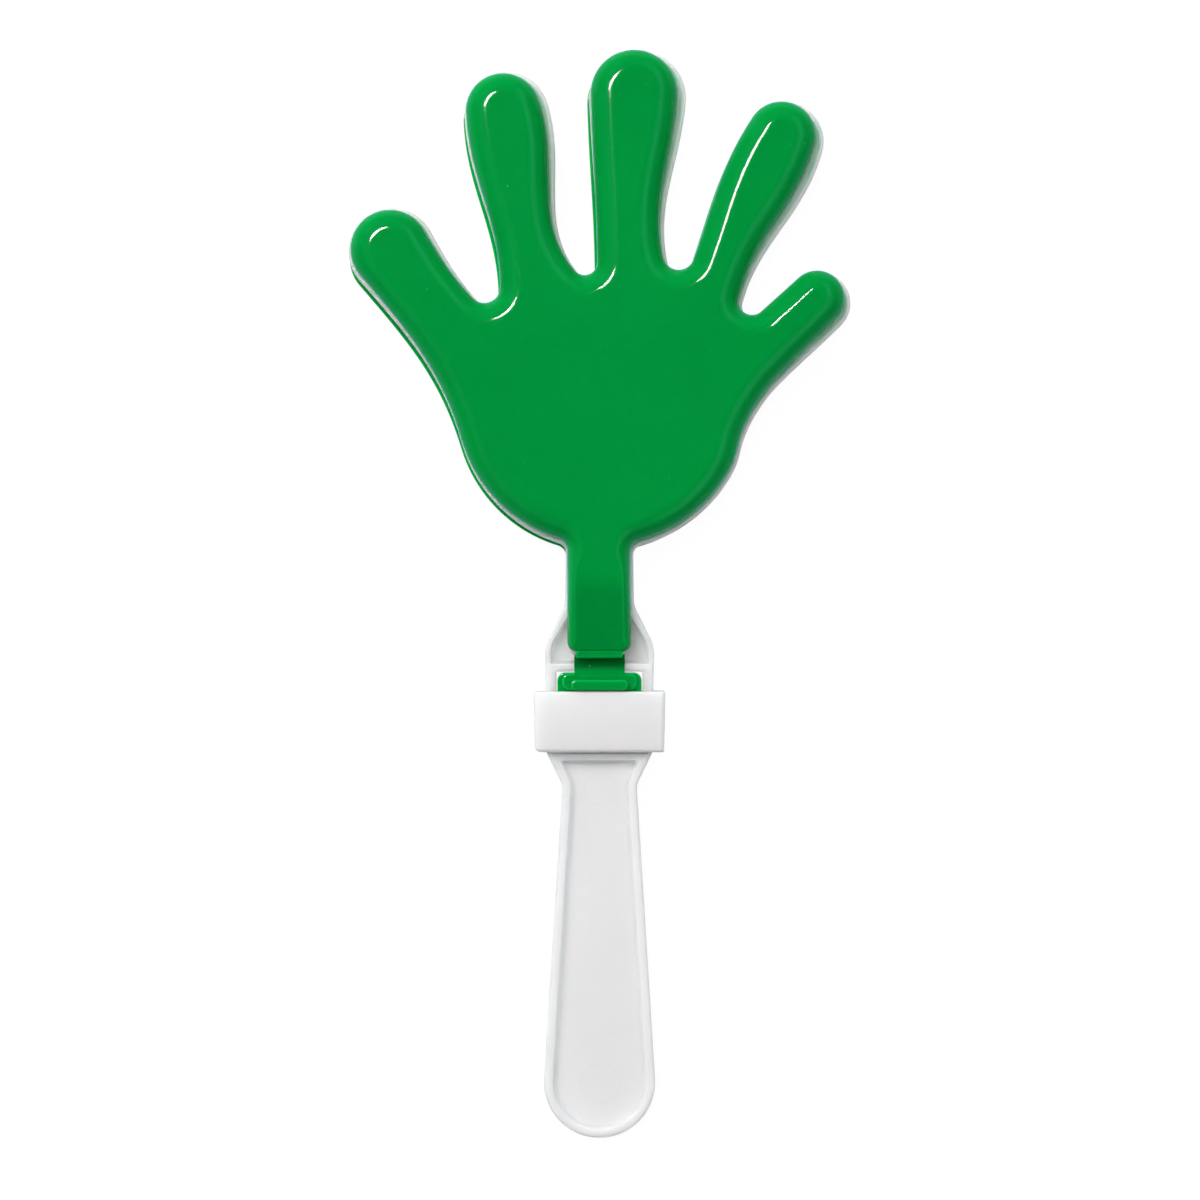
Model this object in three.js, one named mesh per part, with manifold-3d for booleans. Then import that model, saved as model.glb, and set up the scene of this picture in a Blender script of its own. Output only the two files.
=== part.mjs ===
// Hand clapper: two green hands on living hinges strike a white middle hand on a long grip.
// Millimetres, +Z up. It lies flat on the back hand, fingers along +Y, grip along -Y,
// and the origin is on the resting surface under the middle of the palm.

import * as THREE from 'three';
import { mergeVertices } from 'three/addons/utils/BufferGeometryUtils.js';
import Module from 'manifold-3d';

const wasm = await Module();
wasm.setup();

// Thicknesses and clearances
const SHELL_DEPTH = 6.2;
const SHELL_WALL = 1.3;
const MIDDLE_THICKNESS = 7;
const SEAT_GAP = 0.3;

// Fineness of the outlines, in degrees, millimetres and steps
const TIP_STEP = 18;
const PALM_STEP = 9;
const BUTT_STEP = 13;
const EASE_STEP = 7;
const CORNER_STEPS = 4;
const ARM_STEPS = 5;
const WELD_DISTANCE = 1e-5;

// Middle point of a rounded edge: its distance from both faces as a share of the radius
const HALFWAY = 1 - Math.SQRT1_2;

// Cutters run on by this much past the faces they open
const CUT_PAST = 1;

// Rounded shoulder of a green shell, measured inwards from its outline
const HAND_SHOULDER = 5.6;
const ARM_SHOULDER = 2.4;
const RIM_LIP = 0.7;

// Hand outline: arcs in order from the palm's right side over the fingers to its left side.
// Palm and finger tips turn left; the hand's edge and the webs between the fingers turn right.
const PALM = { x: 1.0, y: 0.2, radius: 37.6 };
const PALM_RIGHT_ANGLE = -28;
const PALM_LEFT_ANGLE = 196;
const HAND_EDGE = { x: 78.8, y: -25.4, radius: 45, fromAngle: 157, toAngle: 136 };
const LITTLE_TIP = { x: 56.5, y: 25.8, radius: 7.1, fromAngle: -44, toAngle: 132 };
const LITTLE_WEB = { x: 39.8, y: 25.1, radius: 3.5, fromAngle: -48, toAngle: -194 };
const RING_TIP = { x: 47.6, y: 67.5, radius: 8.9, fromAngle: -16, toAngle: 146 };
const RING_WEB = { x: 21.0, y: 37.3, radius: 4.0, fromAngle: -20, toAngle: -168 };
const MIDDLE_TIP = { x: 9.8, y: 78.7, radius: 11.2, fromAngle: -4, toAngle: 181 };
const MIDDLE_WEB = { x: -3.2, y: 35.3, radius: 3.2, fromAngle: 0, toAngle: -140 };
const INDEX_TIP = { x: -23.9, y: 74.5, radius: 9.6, fromAngle: 20, toAngle: 182 };
const INDEX_WEB = { x: -29.0, y: 29.1, radius: 4.0, fromAngle: 0, toAngle: -137 };
const THUMB_TIP = { x: -53.2, y: 39.0, radius: 10.2, fromAngle: 30, toAngle: 220 };
const FINGER_ARCS = [
  HAND_EDGE,
  LITTLE_TIP,
  LITTLE_WEB,
  RING_TIP,
  RING_WEB,
  MIDDLE_TIP,
  MIDDLE_WEB,
  INDEX_TIP,
  INDEX_WEB,
  THUMB_TIP,
];

// Fullness of the curves that join neighbouring arcs
const EASE = 0.38;

// Arm of a green hand, from the palm down to its living hinge
const ARM_HALF_WIDTH = 8.2;
const ARM_END_Y = -64.9;
const ARM_CORNER = 2.6;
const ARM_END_DEPTH = 3;
const ARM_END_SHOULDER = 0.8;
const ARM_BEND_Y = -46;
const ARM_BEND_EASE = 1.5;
const NECK_FILLET = 3.2;
const NECK_BLEND = { low: -46, high: -34 };

// Living hinge: thin strap over the crossbar, with a stop rib on either side of it
const HINGE_Y = -69.2;
const STRAP_THICKNESS = 0.6;
const STRAP_HALF_WIDTH = 6.5;
const STOP_RIB_HEIGHT = 2.2;
const STOP_RIB_REACH = 2.75;
const STOP_RIB_EDGE = 0.4;
const HAND_RIB_HALF_WIDTH = 6.1;
const HAND_RIB_LENGTH = 2.1;
const HAND_RIB_CORNER = 0.8;

// Anchor of a green hand: plate with a tee foot in the window, tier and stop rib above it
const PLATE_CORNER = 2;
const FOOT_OVERHANG = 1.3;
const FOOT_LENGTH = 3.6;
const TIER_INSET = 1.2;
const TIER_CORNER = 1.8;
const ANCHOR_RIB_HALF_WIDTH = 7.3;
const ANCHOR_RIB_CORNER = 1.2;

// Middle moulding: hand, neck, frame with a window for the anchors, grip
const NECK_MARGIN = 0.65;
const PALM_MARGIN = 0.3;
const TIP_MARGIN = 1.25;
const MARGIN_REACH = 40;
const WHITE_HAND_DROP = 0.9;
const EDGE_ROUND = 0.6;
const WEB_THICKNESS = 1.6;
const NECK_END_Y = -52.7;
const FRAME_INSET = 0.25;
const FRAME_SHOULDER_Y = -63.4;
const FRAME_FOOT_INSET = 0.6;
const FRAME_FOOT_Y = -91;
const WAIST_HALF_WIDTH = 9.6;
const WAIST_Y = -99.1;
const GRIP_HALF_WIDTH = 14.35;
const GRIP_END_Y = -175.6;
const NECK_RADIUS = 6;
const SHOULDER_RADIUS = 10;
const FOOT_RADIUS = 1;
const WAIST_RADIUS = 4;
const HAND_RIM = 3;
const FRAME_RIM = 1.4;
const RIM_BLEND = { low: -57, high: -50 };
const GRIP_RIM = 2.3;
const GRIP_WEB_THICKNESS = 2.6;
const POCKET_DRAFT = 0.4;
const POCKET_CORNER = 0.5;
const CROSSBAR_WIDTH = 2;
const LOWER_BAR_WIDTH = 2.1;
const WINDOW_WALL = 1.05;
const WINDOW_TOP_Y = -69.9;
const WINDOW_BOTTOM_Y = -91.3;

// Collar that slides up over the grip and locks both anchors in the window
const COLLAR_TOP_Y = -75;
const COLLAR_LENGTH = 15.6;
const COLLAR_WALL = 2.3;
const COLLAR_DRAFT = 0.3;
const COLLAR_CORNER = 1;
const COLLAR_TOP_ROUND = 0.4;
const COLLAR_FOOT_ROUND = { left: 1.8, face: 0.9, right: 0.4 };

// The straps give a little, so the hands lie slightly askew over the white one
const FRONT_HAND_TURN = 0.35;
const BACK_HAND_TURN = 0.7;
const BACK_HAND_SLIP = 1.6;

// Half widths of the frame, which is narrower than the grip so that the collar passes over it
const FRAME_HALF_WIDTH = GRIP_HALF_WIDTH - FRAME_INSET;
const FRAME_FOOT_HALF_WIDTH = FRAME_HALF_WIDTH - FRAME_FOOT_INSET;

// Half width of the window above its wide end, beside which a wall of the frame stays
const WINDOW_HALF_WIDTH = FRAME_FOOT_HALF_WIDTH - WINDOW_WALL - FOOT_OVERHANG;

// Levels above the middle plane of the white moulding
const MIDDLE_FACE = MIDDLE_THICKNESS / 2;
const SHELL_RIM = MIDDLE_FACE + SEAT_GAP;
const SHELL_TOP = SHELL_RIM + SHELL_DEPTH;
const STRAP_TOP = SHELL_RIM + STRAP_THICKNESS;
const STOP_RIB_TOP = STRAP_TOP + STOP_RIB_HEIGHT;

const GREEN = { color: 0x018b3b, roughness: 0.22, metalness: 0 };
const WHITE = { color: 0xe8e9eb, roughness: 0.4, metalness: 0 };

// A point of an outline with its outward direction
function outlinePoint(x, y, outX = 0, outY = 0) {
  return { at: new THREE.Vector2(x, y), out: new THREE.Vector2(outX, outY).normalize() };
}

// Points along an arc; an arc that turns right has its material outside the circle
function arcPoints(arc, stepDegrees = TIP_STEP) {
  const steps = Math.max(2, Math.round(Math.abs(arc.toAngle - arc.fromAngle) / stepDegrees));
  const side = arc.toAngle > arc.fromAngle ? 1 : -1;
  const points = [];
  for (let i = 0; i <= steps; i++) {
    const degrees = THREE.MathUtils.lerp(arc.fromAngle, arc.toAngle, i / steps);
    const angle = THREE.MathUtils.degToRad(degrees);
    const dx = Math.cos(angle);
    const dy = Math.sin(angle);
    points.push(outlinePoint(arc.x + arc.radius * dx, arc.y + arc.radius * dy, side * dx, side * dy));
  }
  return points;
}

// Smooth curve between two outline points, square to the outward direction at both ends
function easePoints(start, end) {
  const span = start.at.distanceTo(end.at);
  const steps = Math.ceil(span / EASE_STEP);
  const reach = span * EASE;
  const leave = new THREE.Vector2(-start.out.y, start.out.x).multiplyScalar(reach).add(start.at);
  const arrive = new THREE.Vector2(end.out.y, -end.out.x).multiplyScalar(reach).add(end.at);
  const curve = new THREE.CubicBezierCurve(start.at, leave, arrive, end.at);
  const points = [];
  for (let i = 1; i < steps; i++) {
    const at = curve.getPoint(i / steps);
    const along = curve.getTangent(i / steps);
    points.push(outlinePoint(at.x, at.y, along.y, -along.x));
  }
  return points;
}

// Rounded corner between two straight runs
function cornerPoints(before, corner, after, radius) {
  const incoming = new THREE.Vector2().subVectors(corner, before).normalize();
  const outgoing = new THREE.Vector2().subVectors(after, corner).normalize();
  const turn = Math.atan2(incoming.cross(outgoing), incoming.dot(outgoing));
  const setback = radius * Math.tan(Math.abs(turn) / 2);
  const firstOut = new THREE.Vector2(incoming.y, -incoming.x);
  const signedRadius = Math.sign(turn) * radius;
  const start = corner.clone().addScaledVector(incoming, -setback);
  const centre = start.addScaledVector(firstOut, -signedRadius);
  const points = [];
  for (let i = 0; i <= CORNER_STEPS; i++) {
    const out = firstOut.clone().rotateAround(new THREE.Vector2(), (turn * i) / CORNER_STEPS);
    const at = centre.clone().addScaledVector(out, signedRadius);
    points.push(outlinePoint(at.x, at.y, out.x, out.y));
  }
  return points;
}

// Closed outline from corners [x, y, radius], counter-clockwise
function roundedOutline(corners) {
  const at = corners.map(([x, y]) => new THREE.Vector2(x, y));
  return corners.flatMap(([x, y, radius], i) => {
    const after = at[(i + 1) % at.length];
    return radius > 0 ? cornerPoints(at.at(i - 1), at[i], after, radius) : [outlinePoint(x, y)];
  });
}

// Rectangle about the middle line with rounded corners at its top and bottom
function rectangleOutline(halfWidth, top, bottom, topRadius, bottomRadius = topRadius) {
  return roundedOutline([
    [halfWidth, bottom, bottomRadius],
    [halfWidth, top, topRadius],
    [-halfWidth, top, topRadius],
    [-halfWidth, bottom, bottomRadius],
  ]);
}

// The same run of points on the left side, in the order that carries the outline on
function mirrored(points) {
  return points.map((p) => outlinePoint(-p.at.x, p.at.y, -p.out.x, p.out.y)).reverse();
}

// Point reached from an end of a run by going straight on to a height
function extendTo(point, y) {
  const along = new THREE.Vector2(-point.out.y, point.out.x);
  const distance = (y - point.at.y) / along.y;
  const at = point.at.clone().addScaledVector(along, distance);
  return outlinePoint(at.x, at.y, point.out.x, point.out.y);
}

// Outline moved out along its directions; margin is a number or a function of the point
function offset(points, margin) {
  const distance = typeof margin === 'function' ? margin : () => margin;
  return points.map((p) => ({ at: p.at.clone().addScaledVector(p.out, distance(p)), out: p.out }));
}

// Fillet between the neck and the palm, on the right for side 1 and on the left for side -1
function neckFillet(side) {
  const x = side * (ARM_HALF_WIDTH + NECK_FILLET);
  const y = PALM.y - Math.sqrt((PALM.radius + NECK_FILLET) ** 2 - (x - PALM.x) ** 2);
  const towardPalm = THREE.MathUtils.radToDeg(Math.atan2(PALM.y - y, PALM.x - x));
  const fromAngle = side > 0 ? 180 : towardPalm;
  const toAngle = side > 0 ? towardPalm : 0;
  return { x, y, radius: NECK_FILLET, fromAngle, toAngle };
}

// Angles of a quarter turn in equal steps
function quarterTurn(steps) {
  return Array.from({ length: steps + 1 }, (_, i) => ((i / steps) * Math.PI) / 2);
}

// Hand outline of a green shell from the right end of the neck over the fingers to the left end
function handRun() {
  const right = neckFillet(1);
  const left = neckFillet(-1);
  const arcs = [
    { ...PALM, fromAngle: right.toAngle - 180, toAngle: PALM_RIGHT_ANGLE },
    ...FINGER_ARCS,
    { ...PALM, fromAngle: PALM_LEFT_ANGLE, toAngle: left.fromAngle + 180 },
  ];
  const points = arcPoints(right).slice(0, -1);
  arcs.forEach((arc, i) => {
    const next = arcPoints(arc, arc.radius < MIDDLE_TIP.radius * 2 ? TIP_STEP : PALM_STEP);
    if (i > 0) {
      points.push(...easePoints(points.at(-1), next[0]));
    }
    points.push(...next);
  });
  return [...points, ...arcPoints(left).slice(1)];
}

// Closed surface through rings of points; the ends get caps unless the rings close on themselves
function loft(rings, caps) {
  const count = rings[0].length;
  const indices = [];
  const joints = caps ? rings.length - 1 : rings.length;
  for (let r = 0; r < joints; r++) {
    const low = r * count;
    const high = ((r + 1) % rings.length) * count;
    for (let i = 0; i < count; i++) {
      const j = (i + 1) % count;
      indices.push(low + i, low + j, high + j, low + i, high + j, high + i);
    }
  }
  if (caps) {
    const last = (rings.length - 1) * count;
    for (const [a, b, c] of caps(rings[0])) {
      indices.push(c, b, a);
    }
    for (const [a, b, c] of caps(rings.at(-1))) {
      indices.push(last + a, last + b, last + c);
    }
  }
  const geometry = new THREE.BufferGeometry().setFromPoints(rings.flat());
  geometry.setIndex(indices);
  return geometry;
}

// Triangles over a flat outline, counter-clockwise
function flatCap(points) {
  const flat = points.map((p) => new THREE.Vector2(p.x, p.y));
  return THREE.ShapeUtils.triangulateShape(flat, []).map(([a, b, c]) => {
    const turn = flat[b].clone().sub(flat[a]).cross(flat[c].clone().sub(flat[a]));
    return turn > 0 ? [a, b, c] : [a, c, b];
  });
}

// Ring of an outline at a height, which is a number or a function of the point
function ringAt(points, height) {
  const level = typeof height === 'function' ? height : () => height;
  return points.map((p) => new THREE.Vector3(p.at.x, p.at.y, level(p)));
}

// Straight prism over an outline
function prism(points, low, high) {
  return loft([ringAt(points, low), ringAt(points, high)], flatCap);
}

// Prism whose upper edge is rounded
function roundedPrism(points, low, high, edge) {
  return loft(
    [
      ringAt(points, low),
      ringAt(points, high - edge),
      ringAt(offset(points, -HALFWAY * edge), high - HALFWAY * edge),
      ringAt(offset(points, -edge), high),
    ],
    flatCap,
  );
}

// Solid for joining and cutting
function solid(geometry) {
  const positions = geometry.clone();
  positions.deleteAttribute('normal');
  positions.deleteAttribute('uv');
  const merged = mergeVertices(positions, WELD_DISTANCE);
  return new wasm.Manifold(
    new wasm.Mesh({
      numProp: 3,
      vertProperties: new Float32Array(merged.attributes.position.array),
      triVerts: new Uint32Array(merged.index.array),
    }),
  );
}

// Geometry of a joined or cut solid
function geometryOf(body) {
  const mesh = body.getMesh();
  const geometry = new THREE.BufferGeometry();
  const positions = new Float32Array(mesh.numVert * 3);
  for (let i = 0; i < mesh.numVert; i++) {
    positions.set(mesh.vertProperties.subarray(i * mesh.numProp, i * mesh.numProp + 3), i * 3);
  }
  geometry.setAttribute('position', new THREE.BufferAttribute(positions, 3));
  geometry.setIndex(new THREE.BufferAttribute(new Uint32Array(mesh.triVerts), 1));
  return geometry;
}

// Mirror image through the middle plane
function flipped(geometry) {
  const result = geometry.clone().scale(1, 1, -1);
  const index = result.index.array;
  for (let i = 0; i < index.length; i += 3) {
    [index[i], index[i + 2]] = [index[i + 2], index[i]];
  }
  return result;
}

// Share of hand, as against neck and arm, at a point of the outline
function handShare(point) {
  return THREE.MathUtils.smoothstep(point.at.y, NECK_BLEND.low, NECK_BLEND.high);
}

// Shoulder width of a green shell at a point of its outline: least across the end of the arm
function shoulderWidth(point) {
  const across = Math.max(0, -point.out.y);
  const arm = THREE.MathUtils.lerp(ARM_SHOULDER, ARM_END_SHOULDER, across);
  return THREE.MathUtils.lerp(arm, HAND_SHOULDER, handShare(point));
}

// Depth of a green shell: full over the hand, less towards the end of the arm
function shellDepth(point) {
  const down = THREE.MathUtils.clamp((ARM_BEND_Y - point.at.y) / (ARM_BEND_Y - ARM_END_Y), 0, 1);
  return THREE.MathUtils.lerp(SHELL_DEPTH, ARM_END_DEPTH, down ** ARM_BEND_EASE);
}

// Left side of the arm with the corner at its end
function armRun(neckEnd) {
  const sideEnd = ARM_END_Y + ARM_CORNER;
  const points = [];
  for (let i = 1; i < ARM_STEPS; i++) {
    const y = THREE.MathUtils.lerp(neckEnd.at.y, sideEnd, i / ARM_STEPS);
    points.push(outlinePoint(-ARM_HALF_WIDTH, y, -1, 0));
  }
  const corner = cornerPoints(
    new THREE.Vector2(-ARM_HALF_WIDTH, neckEnd.at.y),
    new THREE.Vector2(-ARM_HALF_WIDTH, ARM_END_Y),
    new THREE.Vector2(0, ARM_END_Y),
    ARM_CORNER,
  );
  return [...points, ...corner];
}

// Rounded, open-backed shell over the outline of hand and arm
function handShell() {
  const hand = handRun();
  const arm = armRun(hand.at(-1));
  const outline = [...hand, ...arm, ...mirrored(arm)];
  const ring = (turn, wall) => outline.map((p) => {
    const inset = wall + (shoulderWidth(p) - wall) * (1 - Math.cos(turn));
    const rise = RIM_LIP + (shellDepth(p) - RIM_LIP - wall) * Math.sin(turn);
    return new THREE.Vector3(p.at.x - inset * p.out.x, p.at.y - inset * p.out.y, SHELL_RIM + rise);
  });
  const inside = quarterTurn(2).reverse().map((turn) => ring(turn, SHELL_WALL));
  const outside = quarterTurn(4).map((turn) => ring(turn, 0));
  const rims = [ringAt(offset(outline, -SHELL_WALL), SHELL_RIM), ringAt(outline, SHELL_RIM)];
  return loft([...inside, ...rims, ...outside], (points) => shellCap(points, hand.length));
}

// Cap of a shell: flat over the hand, in cross strips over the bent arm
function shellCap(points, handCount) {
  const triangles = flatCap(points.slice(0, handCount));
  const count = points.length;
  const strips = (count - handCount) / 2;
  for (let i = 0; i < strips; i++) {
    const left = handCount - 1 + i;
    const right = (count - i) % count;
    triangles.push([left, left + 1, right], [left + 1, count - i - 1, right]);
  }
  return triangles;
}

// Green hand: shell with the stop rib and the root of the strap at the end of its arm
function greenHand() {
  const bottom = HINGE_Y + STOP_RIB_REACH;
  const top = bottom + HAND_RIB_LENGTH;
  const rib = rectangleOutline(HAND_RIB_HALF_WIDTH, top, bottom, HAND_RIB_CORNER);
  const root = rectangleOutline(STRAP_HALF_WIDTH, top, bottom, 0);
  return geometryOf(
    solid(handShell())
      .add(solid(roundedPrism(rib, SHELL_RIM, STOP_RIB_TOP, STOP_RIB_EDGE)))
      .add(solid(prism(root, SHELL_RIM, STRAP_TOP))),
  );
}

// Living hinge between the end of an arm and its anchor
function hingeStrap(slip) {
  const top = HINGE_Y + STOP_RIB_REACH - slip - SEAT_GAP;
  const bottom = WINDOW_TOP_Y - SEAT_GAP / 2;
  return prism(rectangleOutline(STRAP_HALF_WIDTH, top, bottom, 0), SHELL_RIM, STRAP_TOP);
}

// Anchor: half of the window's depth, with a tee foot that the window's wide end holds
function anchor() {
  const top = WINDOW_TOP_Y - SEAT_GAP;
  const bottom = WINDOW_BOTTOM_Y + SEAT_GAP;
  const half = WINDOW_HALF_WIDTH - SEAT_GAP;
  const footTop = bottom + FOOT_LENGTH;
  const foot = half + FOOT_OVERHANG;
  const plate = roundedOutline([
    [foot, bottom, 0],
    [foot, footTop, 0],
    [half, footTop, 0],
    [half, top, PLATE_CORNER],
    [-half, top, PLATE_CORNER],
    [-half, footTop, 0],
    [-foot, footTop, 0],
    [-foot, bottom, 0],
  ]);
  const ribTop = HINGE_Y - STOP_RIB_REACH;
  const ribBottom = COLLAR_TOP_Y + SEAT_GAP;
  const tier = rectangleOutline(half - TIER_INSET, top - SEAT_GAP / 2, ribBottom, TIER_CORNER);
  const rib = rectangleOutline(ANCHOR_RIB_HALF_WIDTH, ribTop, ribBottom, ANCHOR_RIB_CORNER);
  return geometryOf(
    solid(prism(plate, SEAT_GAP / 2, MIDDLE_FACE))
      .add(solid(prism(tier, MIDDLE_FACE / 2, STRAP_TOP)))
      .add(solid(roundedPrism(rib, MIDDLE_FACE, STOP_RIB_TOP, STOP_RIB_EDGE))),
  );
}

// Margin of the white hand beyond the green ones, which grows from the palm to the finger tips
function whiteMargin(point) {
  const beyondPalm = point.at.distanceTo(new THREE.Vector2(PALM.x, PALM.y)) - PALM.radius;
  const tipShare = THREE.MathUtils.clamp(beyondPalm / MARGIN_REACH, 0, 1);
  const hand = THREE.MathUtils.lerp(PALM_MARGIN, TIP_MARGIN, tipShare);
  return THREE.MathUtils.lerp(NECK_MARGIN, hand, handShare(point));
}

// Outline of the white hand, a little lower than the green ones
function whiteHandRun() {
  const drop = new THREE.Vector2(0, -WHITE_HAND_DROP);
  return offset(handRun(), whiteMargin).map((p) => ({ at: p.at.clone().add(drop), out: p.out }));
}

// Right half of the grip's outline, from its butt up to the waist
function gripRun() {
  const slope = Math.atan2(GRIP_HALF_WIDTH - WAIST_HALF_WIDTH, WAIST_Y - GRIP_END_Y);
  const taper = THREE.MathUtils.radToDeg(slope);
  const angles = { fromAngle: -90, toAngle: taper };
  const butt = { x: 0, y: GRIP_END_Y, radius: GRIP_HALF_WIDTH, ...angles };
  const waist = cornerPoints(
    new THREE.Vector2(GRIP_HALF_WIDTH, GRIP_END_Y),
    new THREE.Vector2(WAIST_HALF_WIDTH, WAIST_Y),
    new THREE.Vector2(FRAME_FOOT_HALF_WIDTH, FRAME_FOOT_Y),
    WAIST_RADIUS,
  );
  return [...arcPoints(butt, BUTT_STEP), ...waist];
}

// Right side of the frame's foot, between waist and window
function footRun() {
  return cornerPoints(
    new THREE.Vector2(WAIST_HALF_WIDTH, WAIST_Y),
    new THREE.Vector2(FRAME_FOOT_HALF_WIDTH, FRAME_FOOT_Y),
    new THREE.Vector2(FRAME_HALF_WIDTH, FRAME_SHOULDER_Y),
    FOOT_RADIUS,
  );
}

// Right side of the frame's shoulder, which narrows to the neck
function shoulderRun() {
  const foot = new THREE.Vector2(FRAME_FOOT_HALF_WIDTH, FRAME_FOOT_Y);
  const shoulder = new THREE.Vector2(FRAME_HALF_WIDTH, FRAME_SHOULDER_Y);
  const neck = new THREE.Vector2(ARM_HALF_WIDTH + NECK_MARGIN, NECK_END_Y);
  const palm = new THREE.Vector2(neck.x, PALM.y);
  return [
    ...cornerPoints(foot, shoulder, neck, SHOULDER_RADIUS),
    ...cornerPoints(shoulder, neck, palm, NECK_RADIUS),
  ];
}

// Pocket cutter: open above, with drafted walls and a rounded floor edge
function pocketCutter(outlineAt, floor) {
  const stations = [
    [POCKET_DRAFT + POCKET_CORNER, floor],
    [POCKET_DRAFT + HALFWAY * POCKET_CORNER, floor + HALFWAY * POCKET_CORNER],
    [POCKET_DRAFT, floor + POCKET_CORNER],
    [0, MIDDLE_FACE],
    [0, MIDDLE_FACE + CUT_PAST],
  ];
  return solid(loft(stations.map(([inset, level]) => ringAt(outlineAt(inset), level)), flatCap));
}

// Pocket outline inside the rim of hand, neck and frame, drawn in further by a depth of draft
function handPocket(inset) {
  const rim = (p) => -inset - THREE.MathUtils.lerp(
    FRAME_RIM,
    HAND_RIM,
    THREE.MathUtils.smoothstep(p.at.y, RIM_BLEND.low, RIM_BLEND.high),
  );
  const bottom = WINDOW_TOP_Y + CROSSBAR_WIDTH + inset;
  const right = offset(shoulderRun(), rim);
  const hand = offset(whiteHandRun(), rim);
  const start = extendTo(right[0], bottom);
  const side = [start, ...right];
  return [...side, ...hand, ...mirrored(side)];
}

// Pocket outline inside the rim of the grip
function gripPocket(inset) {
  const top = WINDOW_BOTTOM_Y - LOWER_BAR_WIDTH - inset;
  const right = offset(gripRun(), -GRIP_RIM - inset);
  const side = [...right, extendTo(right.at(-1), top)];
  return [...side, ...mirrored(side).slice(0, -1)];
}

// Window through the frame, with a wide lower end for the tee feet
function windowCutter() {
  const foot = WINDOW_HALF_WIDTH + FOOT_OVERHANG;
  const footTop = WINDOW_BOTTOM_Y + FOOT_LENGTH + 2 * SEAT_GAP;
  const outline = roundedOutline([
    [foot, WINDOW_BOTTOM_Y, 0],
    [foot, footTop, 0],
    [WINDOW_HALF_WIDTH, footTop, 0],
    [WINDOW_HALF_WIDTH, WINDOW_TOP_Y, 0],
    [-WINDOW_HALF_WIDTH, WINDOW_TOP_Y, 0],
    [-WINDOW_HALF_WIDTH, footTop, 0],
    [-foot, footTop, 0],
    [-foot, WINDOW_BOTTOM_Y, 0],
  ]);
  return solid(prism(outline, -MIDDLE_THICKNESS, MIDDLE_THICKNESS));
}

// Middle hand, neck, frame and grip in one moulding
function middleHand() {
  const handle = [...gripRun(), ...footRun(), ...shoulderRun()];
  const outline = [...handle, ...whiteHandRun(), ...mirrored(handle).slice(0, -1)];
  const edge = [
    [EDGE_ROUND, 0],
    [EDGE_ROUND * HALFWAY, EDGE_ROUND * HALFWAY],
    [0, EDGE_ROUND],
  ];
  const lower = edge.map(([inset, rise]) => ringAt(offset(outline, -inset), rise - MIDDLE_FACE));
  const upper = edge.map(([inset, rise]) => ringAt(offset(outline, -inset), MIDDLE_FACE - rise));
  const body = solid(loft([...lower, ...upper.reverse()], flatCap));
  const pockets = [
    pocketCutter(handPocket, WEB_THICKNESS / 2),
    pocketCutter(gripPocket, GRIP_WEB_THICKNESS / 2),
  ];
  const turned = pockets.map((pocket) => pocket.mirror([0, 0, 1]));
  const cutters = [...pockets, ...turned, windowCutter()];
  return geometryOf(cutters.reduce((left, cutter) => left.subtract(cutter), body));
}

// Rounding of the collar's foot at a point of its section
function collarFootRound(point) {
  const side = point.out.x < 0 ? COLLAR_FOOT_ROUND.left : COLLAR_FOOT_ROUND.right;
  return THREE.MathUtils.lerp(COLLAR_FOOT_ROUND.face, side, Math.abs(point.out.x));
}

// Ring of the collar at its section's outline, at a height along the grip
function collarRing(points, heightAt) {
  return points.map((p, i) => new THREE.Vector3(p.at.x, heightAt(i), p.at.y));
}

// Collar: rectangular sleeve with a slight draft and an unevenly rounded foot
function collar() {
  const holeHalfWidth = GRIP_HALF_WIDTH + SEAT_GAP;
  const holeHalfHeight = MIDDLE_FACE + SEAT_GAP;
  const halfHeight = holeHalfHeight + COLLAR_WALL;
  const outer = rectangleOutline(holeHalfWidth + COLLAR_WALL, halfHeight, -halfHeight, COLLAR_CORNER);
  const hole = rectangleOutline(holeHalfWidth, holeHalfHeight, -holeHalfHeight, COLLAR_CORNER / 2);
  const footY = COLLAR_TOP_Y - COLLAR_LENGTH;
  const topRings = quarterTurn(2).map((turn) => {
    const inset = offset(outer, -COLLAR_TOP_ROUND * (1 - Math.sin(turn)));
    return collarRing(inset, () => COLLAR_TOP_Y - COLLAR_TOP_ROUND * (1 - Math.cos(turn)));
  });
  const footRings = quarterTurn(3).map((turn) => {
    const inset = offset(outer, (p) => -COLLAR_DRAFT - collarFootRound(p) * (1 - Math.cos(turn)));
    return collarRing(inset, (i) => footY + collarFootRound(outer[i]) * (1 - Math.sin(turn)));
  });
  return loft([
    ...topRings,
    ...footRings,
    collarRing(hole, () => footY),
    collarRing(hole, () => COLLAR_TOP_Y),
  ]);
}

// Named part with its own material
function part(name, geometry, finish) {
  const mesh = new THREE.Mesh(geometry.toNonIndexed(), new THREE.MeshStandardMaterial(finish));
  mesh.geometry.computeVertexNormals();
  mesh.name = name;
  return mesh;
}

// Group that turns a hand about its hinge in the plane of the hand and lets it slip down
function askew(mesh, turn, slip) {
  const group = new THREE.Group();
  mesh.position.set(0, -HINGE_Y - slip, 0);
  group.position.set(0, HINGE_Y, 0);
  group.rotation.z = THREE.MathUtils.degToRad(turn);
  return group.add(mesh);
}

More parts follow.
